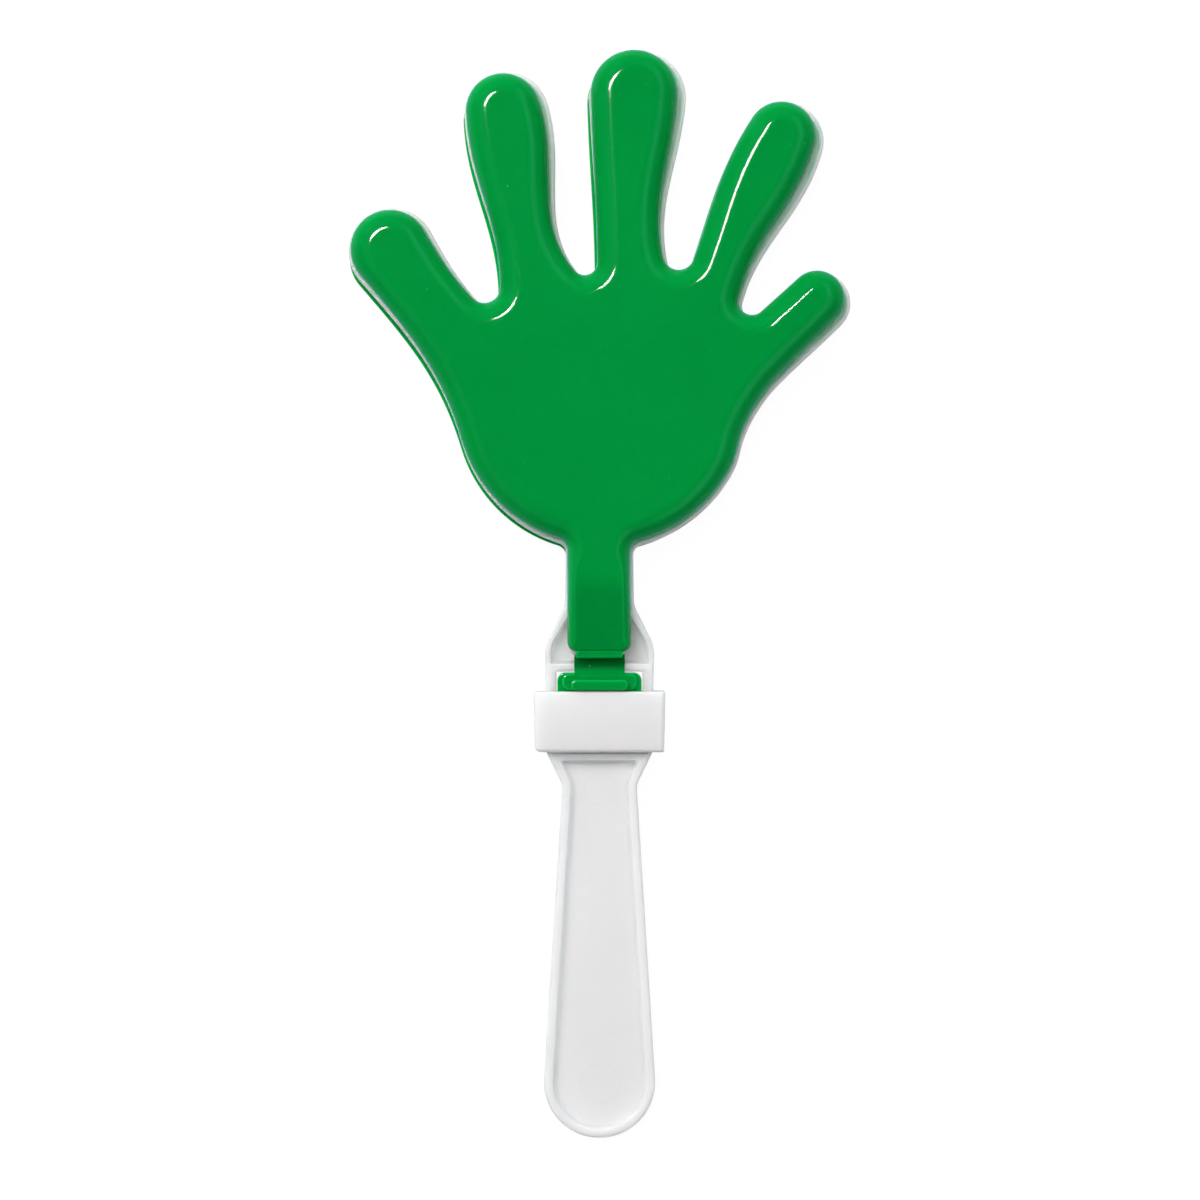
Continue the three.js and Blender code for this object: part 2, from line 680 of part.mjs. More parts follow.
const clapper = new THREE.Group();
clapper.position.z = SHELL_TOP;
clapper.add(
  part('middle_hand_and_handle', middleHand(), WHITE),
  askew(part('front_hand', greenHand(), GREEN), FRONT_HAND_TURN, 0),
  askew(part('back_hand', flipped(greenHand()), GREEN), BACK_HAND_TURN, BACK_HAND_SLIP),
  part('front_hinge_strap', hingeStrap(0), GREEN),
  part('back_hinge_strap', flipped(hingeStrap(BACK_HAND_SLIP)), GREEN),
  part('front_anchor', anchor(), GREEN),
  part('back_anchor', flipped(anchor()), GREEN),
  part('collar', collar(), WHITE),
);

export default clapper;
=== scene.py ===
"""Hand clapper: the photographed look of each moulding, built on the CAD frame.

Outlines and sections are in millimetres about the white moulding's middle plane.
Meshes, settings and lights are in metres.
"""

import math
from collections import namedtuple

import bmesh
import bpy
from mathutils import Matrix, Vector


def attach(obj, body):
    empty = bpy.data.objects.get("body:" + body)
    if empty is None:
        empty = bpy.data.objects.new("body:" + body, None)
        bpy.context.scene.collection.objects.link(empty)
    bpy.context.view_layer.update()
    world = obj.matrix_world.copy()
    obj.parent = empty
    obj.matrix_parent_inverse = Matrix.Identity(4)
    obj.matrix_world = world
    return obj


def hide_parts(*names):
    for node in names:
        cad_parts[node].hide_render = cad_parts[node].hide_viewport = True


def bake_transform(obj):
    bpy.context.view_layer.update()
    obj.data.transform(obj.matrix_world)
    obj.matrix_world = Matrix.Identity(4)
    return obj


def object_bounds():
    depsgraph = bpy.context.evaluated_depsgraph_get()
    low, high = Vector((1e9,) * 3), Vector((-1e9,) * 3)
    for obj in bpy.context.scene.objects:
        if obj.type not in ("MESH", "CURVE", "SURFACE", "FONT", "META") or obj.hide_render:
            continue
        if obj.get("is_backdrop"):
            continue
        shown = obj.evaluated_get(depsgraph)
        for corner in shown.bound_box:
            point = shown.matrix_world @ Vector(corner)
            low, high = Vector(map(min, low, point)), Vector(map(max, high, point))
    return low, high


bl_info = {
    "name": "Hand clapper",
    "version": (1, 0, 0),
    "blender": (4, 5, 0),
    "location": "3D View > Sidebar > Clapper",
    "description": "Builds a plastic clapper with two hinged hands on a white middle hand",
    "category": "Object",
}

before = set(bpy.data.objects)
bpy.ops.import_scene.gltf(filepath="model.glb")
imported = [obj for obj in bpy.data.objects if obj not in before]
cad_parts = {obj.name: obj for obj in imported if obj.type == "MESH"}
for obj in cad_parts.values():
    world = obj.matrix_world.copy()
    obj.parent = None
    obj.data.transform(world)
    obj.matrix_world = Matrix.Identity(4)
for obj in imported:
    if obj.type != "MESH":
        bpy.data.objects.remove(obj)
CAD_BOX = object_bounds()

MM = 0.001
MIDDLE_PLANE = 10.0

Edge = namedtuple("Edge", "at out")
Arc = namedtuple("Arc", "x y radius start end")
Lamp = namedtuple("Lamp", "azimuth off_zenith distance size")

# Hand outline: the palm and finger tips turn left, the hand's edge and the webs turn right
PALM = Arc(1.0, 0.2, 37.6, 0, 0)
PALM_RIGHT_ANGLE = -28
PALM_LEFT_ANGLE = 196
HAND_EDGE = Arc(78.8, -25.4, 45, 157, 136)
LITTLE_TIP = Arc(56.5, 25.8, 7.1, -44, 132)
LITTLE_WEB = Arc(39.8, 25.1, 3.5, -48, -194)
RING_TIP = Arc(47.6, 67.5, 8.9, -16, 146)
RING_WEB = Arc(21.0, 37.3, 4.0, -20, -168)
MIDDLE_TIP = Arc(9.8, 78.7, 11.2, -4, 181)
MIDDLE_WEB = Arc(-3.2, 35.3, 3.2, 0, -140)
INDEX_TIP = Arc(-23.9, 74.5, 9.6, 20, 182)
INDEX_WEB = Arc(-29.0, 29.1, 4.0, 0, -137)
THUMB_TIP = Arc(-53.2, 39.0, 10.2, 30, 220)
FINGER_ARCS = (
    HAND_EDGE,
    LITTLE_TIP,
    LITTLE_WEB,
    RING_TIP,
    RING_WEB,
    MIDDLE_TIP,
    MIDDLE_WEB,
    INDEX_TIP,
    INDEX_WEB,
    THUMB_TIP,
)
EASE = 0.38

# Levels above the middle plane
MIDDLE_FACE = 3.5
SEAT_GAP = 0.3
SHELL_RIM = MIDDLE_FACE + SEAT_GAP
STRAP_TOP = SHELL_RIM + 0.6
STOP_RIB_TOP = STRAP_TOP + 2.2

# Arm and living hinge
ARM_HALF_WIDTH = 8.2
ARM_END_Y = -64.9
ARM_CORNER = 2.6
ARM_END_DEPTH = 3.0
ARM_END_SHOULDER = 0.8
ARM_BEND_Y = -46.0
ARM_BEND_EASE = 1.2
# Painted shade: the top of the bent arm is coloured darker, fading in between these y positions
ARM_SHADE = 0.2
ARM_SHADE_BLEND = (-46.0, -50.0)
NECK_FILLET = 3.2
NECK_BLEND = (-46.0, -34.0)
RIM_ROUND = 0.2
HINGE_Y = -69.2
STRAP_HALF_WIDTH = 6.5
STRAP_NECKING = 0.06
STRAP_SINK = 0.02
STRAP_LAP = 1.0
STRAP_NECK_END = 0.8
STRAP_EDGE = 0.15
# Painted shadow on the strap below the stop rib, fading out between these y positions
RIB_SHADOW_BLEND = (-70.0, -68.0)
STOP_RIB_REACH = 2.75
HAND_RIB_HALF_WIDTH = 6.1
HAND_RIB_LENGTH = 2.35
HAND_RIB_CORNER = 0.8
RIB_EDGE = 0.6
RIB_LIFT = 0.05

# White moulding
NECK_MARGIN = 0.65
PALM_MARGIN = 0.3
MARGIN_REACH = 40.0
WHITE_HAND_DROP = 0.9
WEB_FLOOR = 0.8
GRIP_FLOOR = 1.3
NECK_END_Y = -52.7
GRIP_HALF_WIDTH = 14.35
FRAME_HALF_WIDTH = 14.1
FRAME_FOOT_HALF_WIDTH = 13.5
FRAME_SHOULDER_Y = -63.4
FRAME_FOOT_Y = -91.0
WAIST_HALF_WIDTH = 9.6
WAIST_Y = -99.1
GRIP_END_Y = -175.6
NECK_RADIUS = 6.0
SHOULDER_RADIUS = 10.0
FOOT_RADIUS = 1.0
WAIST_RADIUS = 4.0
FRAME_RIM = 1.4
RIM_BLEND = (-57.0, -50.0)
POCKET_DRAFT = 0.3
POCKET_FLOOR_ROUND = 0.8
POCKET_CORNER = 0.6
MOUTH_ROUND = 0.18
# Painted green-tinted shade on the white hand's rim beside the green shell: its reach in from the
# edge, its fade along the neck, its share at the edge
PAINTED_SHADE_INSET = 1.3
PAINTED_SHADE_BLEND = (-55.0, -51.0)
PAINTED_SHADE_AT_EDGE = 0.35
RING_GAP = 0.01
FLAT_BORDER = 0.05
CROSSBAR_WIDTH = 2.0
LOWER_BAR_WIDTH = 1.85
WINDOW_HALF_WIDTH = 11.15
WINDOW_TOP_Y = -69.9
WINDOW_BOTTOM_Y = -90.95
WINDOW_CORNER = 0.25

# Anchors
FOOT_OVERHANG = 1.3
FOOT_LENGTH = 3.6
FOOT_CORNER = 0.4
PLATE_CORNER = 2.0
PLATE_EDGE = 0.3
TIER_INSET = 1.2
TIER_CORNER = 1.8
TIER_EDGE = 0.5
ANCHOR_RIB_HALF_WIDTH = 7.3
ANCHOR_RIB_CORNER = 1.2

# Collar
COLLAR_TOP_Y = -75.0
COLLAR_LENGTH = 15.6
COLLAR_WALL = 2.3
COLLAR_DRAFT = 0.3
COLLAR_CORNER = 1.0
COLLAR_TOP_ROUND = 0.4
COLLAR_FOOT_LEFT = 1.6
COLLAR_FOOT_FACE = 0.9
COLLAR_FOOT_RIGHT = 0.4
COLLAR_MOUTH_ROUND = 0.25

# How the hands lie over the white one
FRONT_TURN = 0.35
BACK_TURN = 0.7
BACK_SLIP = 1.6

# Fineness of the outlines
ARC_STEP_DEGREES = 6.0
OUTLINE_STEP = 1.8
CORNER_STEPS = 6
STRAP_STEPS = 28


class ClapperMouldings(bpy.types.PropertyGroup):
    """Sizes of the mouldings"""

    shell_depth: bpy.props.FloatProperty(
        name="Shell depth",
        description="Height of a green shell from its rim to its flat top",
        default=6.2 * MM,
        unit="LENGTH",
    )
    shell_wall: bpy.props.FloatProperty(
        name="Shell wall",
        description="Wall thickness of a green shell",
        default=1.3 * MM,
        unit="LENGTH",
    )
    hand_shoulder: bpy.props.FloatProperty(
        name="Hand shoulder",
        description="Width of the rounding along the outline of a green hand",
        default=5.6 * MM,
        unit="LENGTH",
    )
    arm_shoulder: bpy.props.FloatProperty(
        name="Arm shoulder",
        description="Width of the rounding along a green arm",
        default=2.4 * MM,
        unit="LENGTH",
    )
    rim_lip: bpy.props.FloatProperty(
        name="Rim lip",
        description="Upright band at the rim below the rounding",
        default=0.7 * MM,
        unit="LENGTH",
    )
    tip_margin: bpy.props.FloatProperty(
        name="Tip margin",
        description="How far the white finger tips reach past the green ones",
        default=1.25 * MM,
        unit="LENGTH",
    )
    white_edge: bpy.props.FloatProperty(
        name="White edge",
        description="Rounding of the white moulding's outer edges",
        default=0.6 * MM,
        unit="LENGTH",
    )
    hand_rim: bpy.props.FloatProperty(
        name="White hand rim",
        description="Width of the rim round the white hand",
        default=3.0 * MM,
        unit="LENGTH",
    )
    grip_rim: bpy.props.FloatProperty(
        name="Grip rim",
        description="Width of the rim round the grip's tray",
        default=2.3 * MM,
        unit="LENGTH",
    )


class ClapperFinishes(bpy.types.PropertyGroup):
    """Colours and surface of the two plastics"""

    green: bpy.props.FloatVectorProperty(
        name="Green",
        description="Colour of the hinged hands",
        subtype="COLOR",
        size=3,
        min=0,
        max=1,
        default=(0.0003, 0.31, 0.05),
    )
    green_roughness: bpy.props.FloatProperty(
        name="Green roughness",
        description="Roughness of the clean green plastic",
        subtype="FACTOR",
        min=0,
        max=1,
        default=0.05,
    )
    white: bpy.props.FloatVectorProperty(
        name="White",
        description="Colour of the handle and the collar",
        subtype="COLOR",
        size=3,
        min=0,
        max=1,
        default=(0.85, 0.855, 0.87),
    )
    white_roughness: bpy.props.FloatProperty(
        name="White roughness",
        description="Roughness of the clean white plastic",
        subtype="FACTOR",
        min=0,
        max=1,
        default=0.4,
    )
    wear: bpy.props.FloatProperty(
        name="Wear",
        description="Strength of fine scratches and dust",
        subtype="FACTOR",
        min=0,
        max=1,
        default=0.5,
    )


class ClapperStudio(bpy.types.PropertyGroup):
    """Lights, floor and camera"""

    camera_height: bpy.props.FloatProperty(
        name="Camera height",
        description="Height of the camera above the front face of the white moulding",
        default=1.0,
        unit="LENGTH",
    )
    frame_width: bpy.props.FloatProperty(
        name="Frame width",
        description="Width of the picture at the front face of the white moulding",
        default=0.30882,
        unit="LENGTH",
    )
    softbox_power: bpy.props.FloatProperty(
        name="Softbox power",
        description="Power of the softbox that draws the highlights",
        default=86.0,
        unit="POWER",
    )
    key_power: bpy.props.FloatProperty(
        name="Key light power",
        description="Power of the broad light from the upper left",
        default=19.3,
        unit="POWER",
    )
    cards: bpy.props.FloatProperty(
        name="Cards",
        description="Level of the pale cards that the shoulders mirror on the right",
        default=2.2,
        min=0,
    )
    top_power: bpy.props.FloatProperty(
        name="Top light power",
        description="Power of the light straight above, which reaches into the pockets",
        default=6.0,
        unit="POWER",
    )
    fill: bpy.props.FloatProperty(
        name="Fill",
        description="Level of the even light from all round",
        default=0.43,
        min=0,
    )


# Outlines


def edge(x, y, out_x, out_y):
    """Point of an outline with its outward direction"""
    return Edge(Vector((x, y)), Vector((out_x, out_y)).normalized())


def arc_edges(arc):
    """Points along an arc; one that turns right has its material outside the circle"""
    turn = abs(arc.end - arc.start)
    by_length = math.radians(turn) * arc.radius / OUTLINE_STEP
    steps = max(3, math.ceil(turn / ARC_STEP_DEGREES), math.ceil(by_length))
    side = 1 if arc.end > arc.start else -1
    points = []
    for i in range(steps + 1):
        angle = math.radians(arc.start + (arc.end - arc.start) * i / steps)
        dx, dy = math.cos(angle), math.sin(angle)
        points.append(edge(arc.x + arc.radius * dx, arc.y + arc.radius * dy, side * dx, side * dy))
    return points


def ease_edges(start, end):
    """Smooth curve between two outline points, without its ends"""
    span = (end.at - start.at).length
    steps = math.ceil(span / OUTLINE_STEP)
    leave = start.at + Vector((-start.out.y, start.out.x)) * span * EASE
    arrive = end.at + Vector((end.out.y, -end.out.x)) * span * EASE
    points = []
    for i in range(1, steps):
        t = i / steps
        u = 1 - t
        at = u**3 * start.at + 3 * u * u * t * leave + 3 * u * t * t * arrive + t**3 * end.at
        along = u * u * (leave - start.at) + 2 * u * t * (arrive - leave)
        along += t * t * (end.at - arrive)
        points.append(edge(at.x, at.y, along.y, -along.x))
    return points


def corner_edges(before, corner, after, radius):
    """Rounded corner between two straight runs"""
    incoming = (corner - before).normalized()
    outgoing = (after - corner).normalized()
    turn = math.atan2(incoming.x * outgoing.y - incoming.y * outgoing.x, incoming.dot(outgoing))
    signed = math.copysign(radius, turn)
    out = Vector((incoming.y, -incoming.x))
    centre = corner - incoming * radius * math.tan(abs(turn) / 2) - out * signed
    points = []
    for i in range(CORNER_STEPS + 1):
        angle = turn * i / CORNER_STEPS
        c, s = math.cos(angle), math.sin(angle)
        turned = Vector((out.x * c - out.y * s, out.x * s + out.y * c))
        at = centre + turned * signed
        points.append(Edge(at, turned))
    return points


def rounded_outline(corners):
    """Closed outline from corners (x, y, radius), counter-clockwise"""
    at = [Vector((x, y)) for x, y, _ in corners]
    points = []
    for i, (_, _, radius) in enumerate(corners):
        points += corner_edges(at[i - 1], at[i], at[(i + 1) % len(at)], radius)
    return points


def rectangle(half_width, top, bottom, radius):
    """Rectangle about the middle line with rounded corners"""
    return rounded_outline(
        [
            (half_width, bottom, radius),
            (half_width, top, radius),
            (-half_width, top, radius),
            (-half_width, bottom, radius),
        ]
    )


def tee(half, foot, top, foot_top, bottom, corner, top_corner):
    """Outline of a plate with a wider foot and rounded corners"""
    right = [
        (foot, bottom, corner),
        (foot, foot_top, corner),
        (half, foot_top, corner),
        (half, top, top_corner),
    ]
    return rounded_outline(right + [(-x, y, radius) for x, y, radius in reversed(right)])


def mirrored(points):
    """The same run on the left side, in the order that carries the outline on"""
    return [edge(-p.at.x, p.at.y, -p.out.x, p.out.y) for p in reversed(points)]


def offset(points, margin):
    """Outline moved out by a margin, which is a number or a function of the point"""
    distance = margin if callable(margin) else lambda p: margin
    return [Edge(p.at + p.out * distance(p), p.out) for p in points]


def mix(a, b, share):
    return a + (b - a) * share


def smooth_share(value, low, high):
    t = min(1.0, max(0.0, (value - low) / (high - low)))
    return t * t * (3 - 2 * t)


def hand_share(point):
    """Share of hand, as against neck and arm"""
    return smooth_share(point.at.y, *NECK_BLEND)


def shoulder_width(point, sizes):
    """Width of the rounding at a point of a green shell: least across the end of the arm"""
    arm = mix(sizes.arm_shoulder / MM, ARM_END_SHOULDER, max(0.0, -point.out.y))
    return mix(arm, sizes.hand_shoulder / MM, hand_share(point))


def shell_depth(point, full_depth):
    """Depth of a green shell: full over the hand, less towards the end of the arm"""
    down = min(1.0, max(0.0, (ARM_BEND_Y - point.at.y) / (ARM_BEND_Y - ARM_END_Y)))
    return mix(full_depth, ARM_END_DEPTH, down**ARM_BEND_EASE)


def neck_fillet(side):
    """Fillet between neck and palm"""
    x = side * (ARM_HALF_WIDTH + NECK_FILLET)
    y = PALM.y - math.sqrt((PALM.radius + NECK_FILLET) ** 2 - (x - PALM.x) ** 2)
    toward_palm = math.degrees(math.atan2(PALM.y - y, PALM.x - x))
    if side > 0:
        return Arc(x, y, NECK_FILLET, 180, toward_palm)
    return Arc(x, y, NECK_FILLET, toward_palm, 0)


def hand_run():
    """Hand outline from the right end of the neck over the fingers to the left end"""
    right, left = neck_fillet(1), neck_fillet(-1)
    arcs = [
        PALM._replace(start=right.end - 180, end=PALM_RIGHT_ANGLE),
        *FINGER_ARCS,
        PALM._replace(start=PALM_LEFT_ANGLE, end=left.start + 180),
    ]
    points = arc_edges(right)[:-1]
    for i, arc in enumerate(arcs):
        following = arc_edges(arc)
        if i:
            points += ease_edges(points[-1], following[0])
        points += following
    return points + arc_edges(left)[1:]


def arm_run(neck_end):
    """Left side of the arm with the corner at its end"""
    side_end = ARM_END_Y + ARM_CORNER
    steps = math.ceil((neck_end.at.y - side_end) / OUTLINE_STEP)
    heights = [mix(neck_end.at.y, side_end, i / steps) for i in range(1, steps)]
    points = [edge(-ARM_HALF_WIDTH, y, -1, 0) for y in heights]
    corner = Vector((-ARM_HALF_WIDTH, ARM_END_Y))
    return points + corner_edges(neck_end.at, corner, Vector((0, ARM_END_Y)), ARM_CORNER)


def grip_run():
    """Right half of the grip's outline, from its butt up to the waist"""
    taper = math.atan2(GRIP_HALF_WIDTH - WAIST_HALF_WIDTH, WAIST_Y - GRIP_END_Y)
    butt = Arc(0, GRIP_END_Y, GRIP_HALF_WIDTH, -90, math.degrees(taper))
    waist = corner_edges(
        Vector((GRIP_HALF_WIDTH, GRIP_END_Y)),
        Vector((WAIST_HALF_WIDTH, WAIST_Y)),
        Vector((FRAME_FOOT_HALF_WIDTH, FRAME_FOOT_Y)),
        WAIST_RADIUS,
    )
    return arc_edges(butt) + waist


def foot_run():
    """Right side of the frame's foot"""
    return corner_edges(
        Vector((WAIST_HALF_WIDTH, WAIST_Y)),
        Vector((FRAME_FOOT_HALF_WIDTH, FRAME_FOOT_Y)),
        Vector((FRAME_HALF_WIDTH, FRAME_SHOULDER_Y)),
        FOOT_RADIUS,
    )


def shoulder_run():
    """Right side of the frame's shoulder, which narrows to the neck"""
    foot = Vector((FRAME_FOOT_HALF_WIDTH, FRAME_FOOT_Y))
    shoulder = Vector((FRAME_HALF_WIDTH, FRAME_SHOULDER_Y))
    neck = Vector((ARM_HALF_WIDTH + NECK_MARGIN, NECK_END_Y))
    palm = Vector((neck.x, PALM.y))
    shoulder_edges = corner_edges(foot, shoulder, neck, SHOULDER_RADIUS)
    return shoulder_edges + corner_edges(shoulder, neck, palm, NECK_RADIUS)


def reach_height(point, y):
    """Point reached by going straight on from an outline point to a height"""
    along = Vector((-point.out.y, point.out.x))
    return point.at + along * (y - point.at.y) / along.y


def quarter(steps):
    """Angles of a quarter turn in equal steps"""
    return [math.pi / 2 * i / steps for i in range(steps + 1)]


# Mesh building


class Moulding:
    """Mesh of one piece, gathered from rings of points in millimetres"""

    def __init__(self):
        self.bm = bmesh.new()
        # Per vertex: share of painted highlight on rounded edges
        self.edge_highlight_layer = self.bm.verts.layers.float.new("rim")
        # Per vertex: share of painted shade
        self.painted_shade_layer = self.bm.verts.layers.float.new("painted_shade")

    def ring(self, points, level, rim=0.0):
        """Ring of an outline at a level, which is a number or a function of the point's index"""
        height = level if callable(level) else lambda i: level
        verts = []
        for i, p in enumerate(points):
            vert = self.bm.verts.new((p.at.x, p.at.y, height(i)))
            # rim is the share of painted highlight on a rounded edge
            vert[self.edge_highlight_layer] = rim
            verts.append(vert)
        return verts

    def skin(self, rings, closed=False):
        """Surface through rings with the same number of points"""
        pairs = list(zip(rings, rings[1:]))
        if closed:
            pairs.append((rings[-1], rings[0]))
        for low, high in pairs:
            for i in range(len(low)):
                j = (i + 1) % len(low)
                self.bm.faces.new((low[i], low[j], high[j], high[i]))

    def cap(self, ring):
        """Flat face over a ring"""
        self.bm.faces.new(ring)

    def fill(self, loops):
        """Flat face between an outer ring and the rings of its holes"""
        edges = []
        for ring in loops:
            edges += [self.bm.edges.get((ring[i - 1], ring[i])) for i in range(len(ring))]
        bmesh.ops.triangle_fill(self.bm, use_beauty=True, edges=edges, normal=Vector((0, 0, 1)))

    def block(self, points, low, high, edge_radius, steps=5):
        """Solid over an outline with a rounded upper edge"""
        # The rings of the rounded edge carry painted highlight
        rings = [self.ring(points, low), self.ring(points, high - edge_radius, 0.5)]
        for angle in quarter(steps)[1:]:
            inset = edge_radius * (1 - math.cos(angle))
            level = high - edge_radius * (1 - math.sin(angle))
            rings.append(self.ring(offset(points, -inset), level, 1.0))
        rings.append(self.ring(offset(points, -edge_radius - FLAT_BORDER), high))
        self.skin(rings)
        self.cap(rings[0])
        self.cap(rings[-1])

    def finish(self, name, flipped=False, turn=0.0, slip=0.0):
        """Object in the row frame; turned and slipped about the hinge where it lies askew"""
        bmesh.ops.recalc_face_normals(self.bm, faces=self.bm.faces)
        c, s = math.cos(math.radians(turn)), math.sin(math.radians(turn))
        side = -1 if flipped else 1
        for vert in self.bm.verts:
            x, y, z = vert.co
            y -= HINGE_Y + slip
            vert.co = Vector((x * c - y * s, x * s + y * c + HINGE_Y, side * z + MIDDLE_PLANE)) * MM
        if flipped:
            bmesh.ops.reverse_faces(self.bm, faces=self.bm.faces)
        mesh = bpy.data.meshes.new(name)
        self.bm.to_mesh(mesh)
        self.bm.free()
        mesh.shade_smooth()
        obj = bpy.data.objects.new(name, mesh)
        bpy.context.scene.collection.objects.link(obj)
        return obj


def dress(obj, node, body, finish):
    """Puts a finished piece in the place of its CAD node"""
    obj.data.materials.append(finish)
    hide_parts(node)
    if body:
        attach(obj, body)
    return obj


# Surface effects

# Distances that light scatters in the plastics, and the ejector pin marks, in metres
GREEN_SCATTER = 0.002
HANDLE_SCATTER = 0.007
COLLAR_SCATTER = 0.004
PIN_MARK_X = 0.0001
PIN_MARKS = ((-0.1004, 0.0039), (-0.1763, 0.0051))

# Colours of what lies on the plastics, and of the painted green-tinted shade on the white hand's
# rim
GREEN_SCRATCH = (0.1, 0.42, 0.2, 1)
GREEN_DUST = (0.5, 0.6, 0.52, 1)
PAINTED_GREEN_SHADE = (0.1, 0.52, 0.26, 1)
WHITE_SCRATCH = (0.55, 0.56, 0.57, 1)
WHITE_DUST = (0.42, 0.4, 0.37, 1)
PIN_MARK_SHADE = (0.6, 0.61, 0.62, 1)

# Heights are shares of the bump's distance, which is in metres
SCRATCH_HEIGHT = -0.012
PIN_MARK_HEIGHT = -0.05
BUMP_STRENGTH = 0.6
BUMP_DISTANCE = 0.0004
PLASTIC_IOR = 1.49


def new_group(name, inputs, outputs):
    """Empty shader node group with float, vector or colour sockets"""
    group = bpy.data.node_groups.new(name, "ShaderNodeTree")
    for label, kind, default in inputs:
        socket = group.interface.new_socket(label, in_out="INPUT", socket_type=kind)
        if default is not None:
            socket.default_value = default
    for label, kind in outputs:
        group.interface.new_socket(label, in_out="OUTPUT", socket_type=kind)
    return group


class Wiring:
    """Short way to add and join nodes in one tree"""

    def __init__(self, tree):
        self.tree = tree

    def add(self, kind, inputs=None, **settings):
        node = self.tree.nodes.new(kind)
        for name, value in settings.items():
            setattr(node, name, value)
        return self.feed(node, inputs or {})

    def feed(self, node, inputs):
        """Links or sets inputs of a node"""
        for key, value in inputs.items():
            if isinstance(value, bpy.types.NodeSocket):
                self.tree.links.new(value, node.inputs[key])
            else:
                node.inputs[key].default_value = value
        return node

    def math(self, operation, a, b=0.0, c=0.0, clamp=False):
        inputs = {0: a, 1: b, 2: c}
        return self.add("ShaderNodeMath", inputs, operation=operation, use_clamp=clamp).outputs[0]

    def spread(self, value, low, high, to_low=0.0, to_high=1.0):
        """Value mapped from one range to another, clamped"""
        inputs = {"Value": value, "From Min": low, "From Max": high}
        inputs.update({"To Min": to_low, "To Max": to_high})
        return self.add("ShaderNodeMapRange", inputs, clamp=True).outputs["Result"]

    def tint(self, share, a, b):
        """Mix of two colours"""
        return self.add("ShaderNodeMix", {0: share, 6: a, 7: b}, data_type="RGBA").outputs[2]

    def mapping(self, vector, **inputs):
        return self.add("ShaderNodeMapping", {"Vector": vector, **inputs}).outputs[0]

    def noise(self, vector, scale, detail=3.0, roughness=0.5):
        inputs = {"Vector": vector, "Scale": scale, "Detail": detail, "Roughness": roughness}
        return self.add("ShaderNodeTexNoise", inputs).outputs["Fac"]

    def group(self, group, inputs):
        return self.add("ShaderNodeGroup", inputs, node_tree=group)


def scratch_group():
    """Hair-fine straight scratches in a few directions"""
    group = new_group(
        "fine scratches",
        [("Vector", "NodeSocketVector", None), ("Amount", "NodeSocketFloat", 0.5)],
        [("Mask", "NodeSocketFloat")],
    )
    w = Wiring(group)
    inside = w.add("NodeGroupInput").outputs
    total = 0.0
    directions = ((0.35, 60, 2600, 55), (1.25, 45, 2100, 38), (2.2, 80, 3100, 70))
    for angle, length, width, patch in directions:
        turned = w.mapping(inside["Vector"], Rotation=(0.3, 0.2, angle))
        stretched = w.mapping(turned, Scale=(length, width, length))
        lines = w.spread(w.noise(stretched, 1.0, 1.0), 0.69, 0.76)
        patches = w.spread(w.noise(turned, patch, 2.0), 0.48, 0.66)
        total = w.math("ADD", total, w.math("MULTIPLY", lines, patches))
    mask = w.math("MULTIPLY", total, inside["Amount"], clamp=True)
    w.add("NodeGroupOutput", {"Mask": mask})
    return group


def dust_group():
    """Sparse specks of dust and lint"""
    group = new_group(
        "dust specks",
        [("Vector", "NodeSocketVector", None), ("Amount", "NodeSocketFloat", 0.5)],
        [("Mask", "NodeSocketFloat")],
    )
    w = Wiring(group)
    inside = w.add("NodeGroupInput").outputs
    cells = w.add("ShaderNodeTexVoronoi", {"Vector": inside["Vector"], "Scale": 420.0})
    specks = w.spread(cells.outputs["Distance"], 0.05, 0.13, 1.0, 0.0)
    chosen = w.spread(w.noise(inside["Vector"], 190.0, 2.0), 0.62, 0.7)
    mask = w.math("MULTIPLY", w.math("MULTIPLY", specks, chosen), inside["Amount"], clamp=True)
    w.add("NodeGroupOutput", {"Mask": mask})
    return group


def mould_skin_group():
    """Surface of moulded plastic: fine skin, slow waves and cloudy flow"""
    group = new_group(
        "mould skin",
        [
            ("Vector", "NodeSocketVector", None),
            ("Skin", "NodeSocketFloat", 0.5),
            ("Waves", "NodeSocketFloat", 0.5),
        ],
        [("Height", "NodeSocketFloat"), ("Cloud", "NodeSocketFloat")],
    )
    w = Wiring(group)
    inside = w.add("NodeGroupInput").outputs
    skin = w.math("MULTIPLY", w.noise(inside["Vector"], 950.0, 2.0), inside["Skin"])
    waves = w.math("MULTIPLY", w.noise(inside["Vector"], 34.0, 1.0), inside["Waves"])
    cloud = w.spread(w.noise(inside["Vector"], 26.0, 3.0, 0.55), 0.3, 0.7)
    w.add("NodeGroupOutput", {"Height": w.math("ADD", skin, waves), "Cloud": cloud})
    return group


def pin_mark_group():
    """Round witness mark of an ejector pin on a face that looks up"""
    group = new_group(
        "pin mark",
        [
            ("Vector", "NodeSocketVector", None),
            ("Centre", "NodeSocketVector", None),
            ("Radius", "NodeSocketFloat", 0.004),
            ("Width", "NodeSocketFloat", 0.0003),
        ],
        [("Mask", "NodeSocketFloat")],
    )
    w = Wiring(group)
    inside = w.add("NodeGroupInput").outputs
    ends = {0: inside["Vector"], 1: inside["Centre"]}
    away = w.add("ShaderNodeVectorMath", ends, operation="DISTANCE").outputs["Value"]
    from_ring = w.math("ABSOLUTE", w.math("SUBTRACT", away, inside["Radius"]))
    mask = w.math("SUBTRACT", 1.0, w.math("DIVIDE", from_ring, inside["Width"]), clamp=True)
    w.add("NodeGroupOutput", {"Mask": mask})
    return group


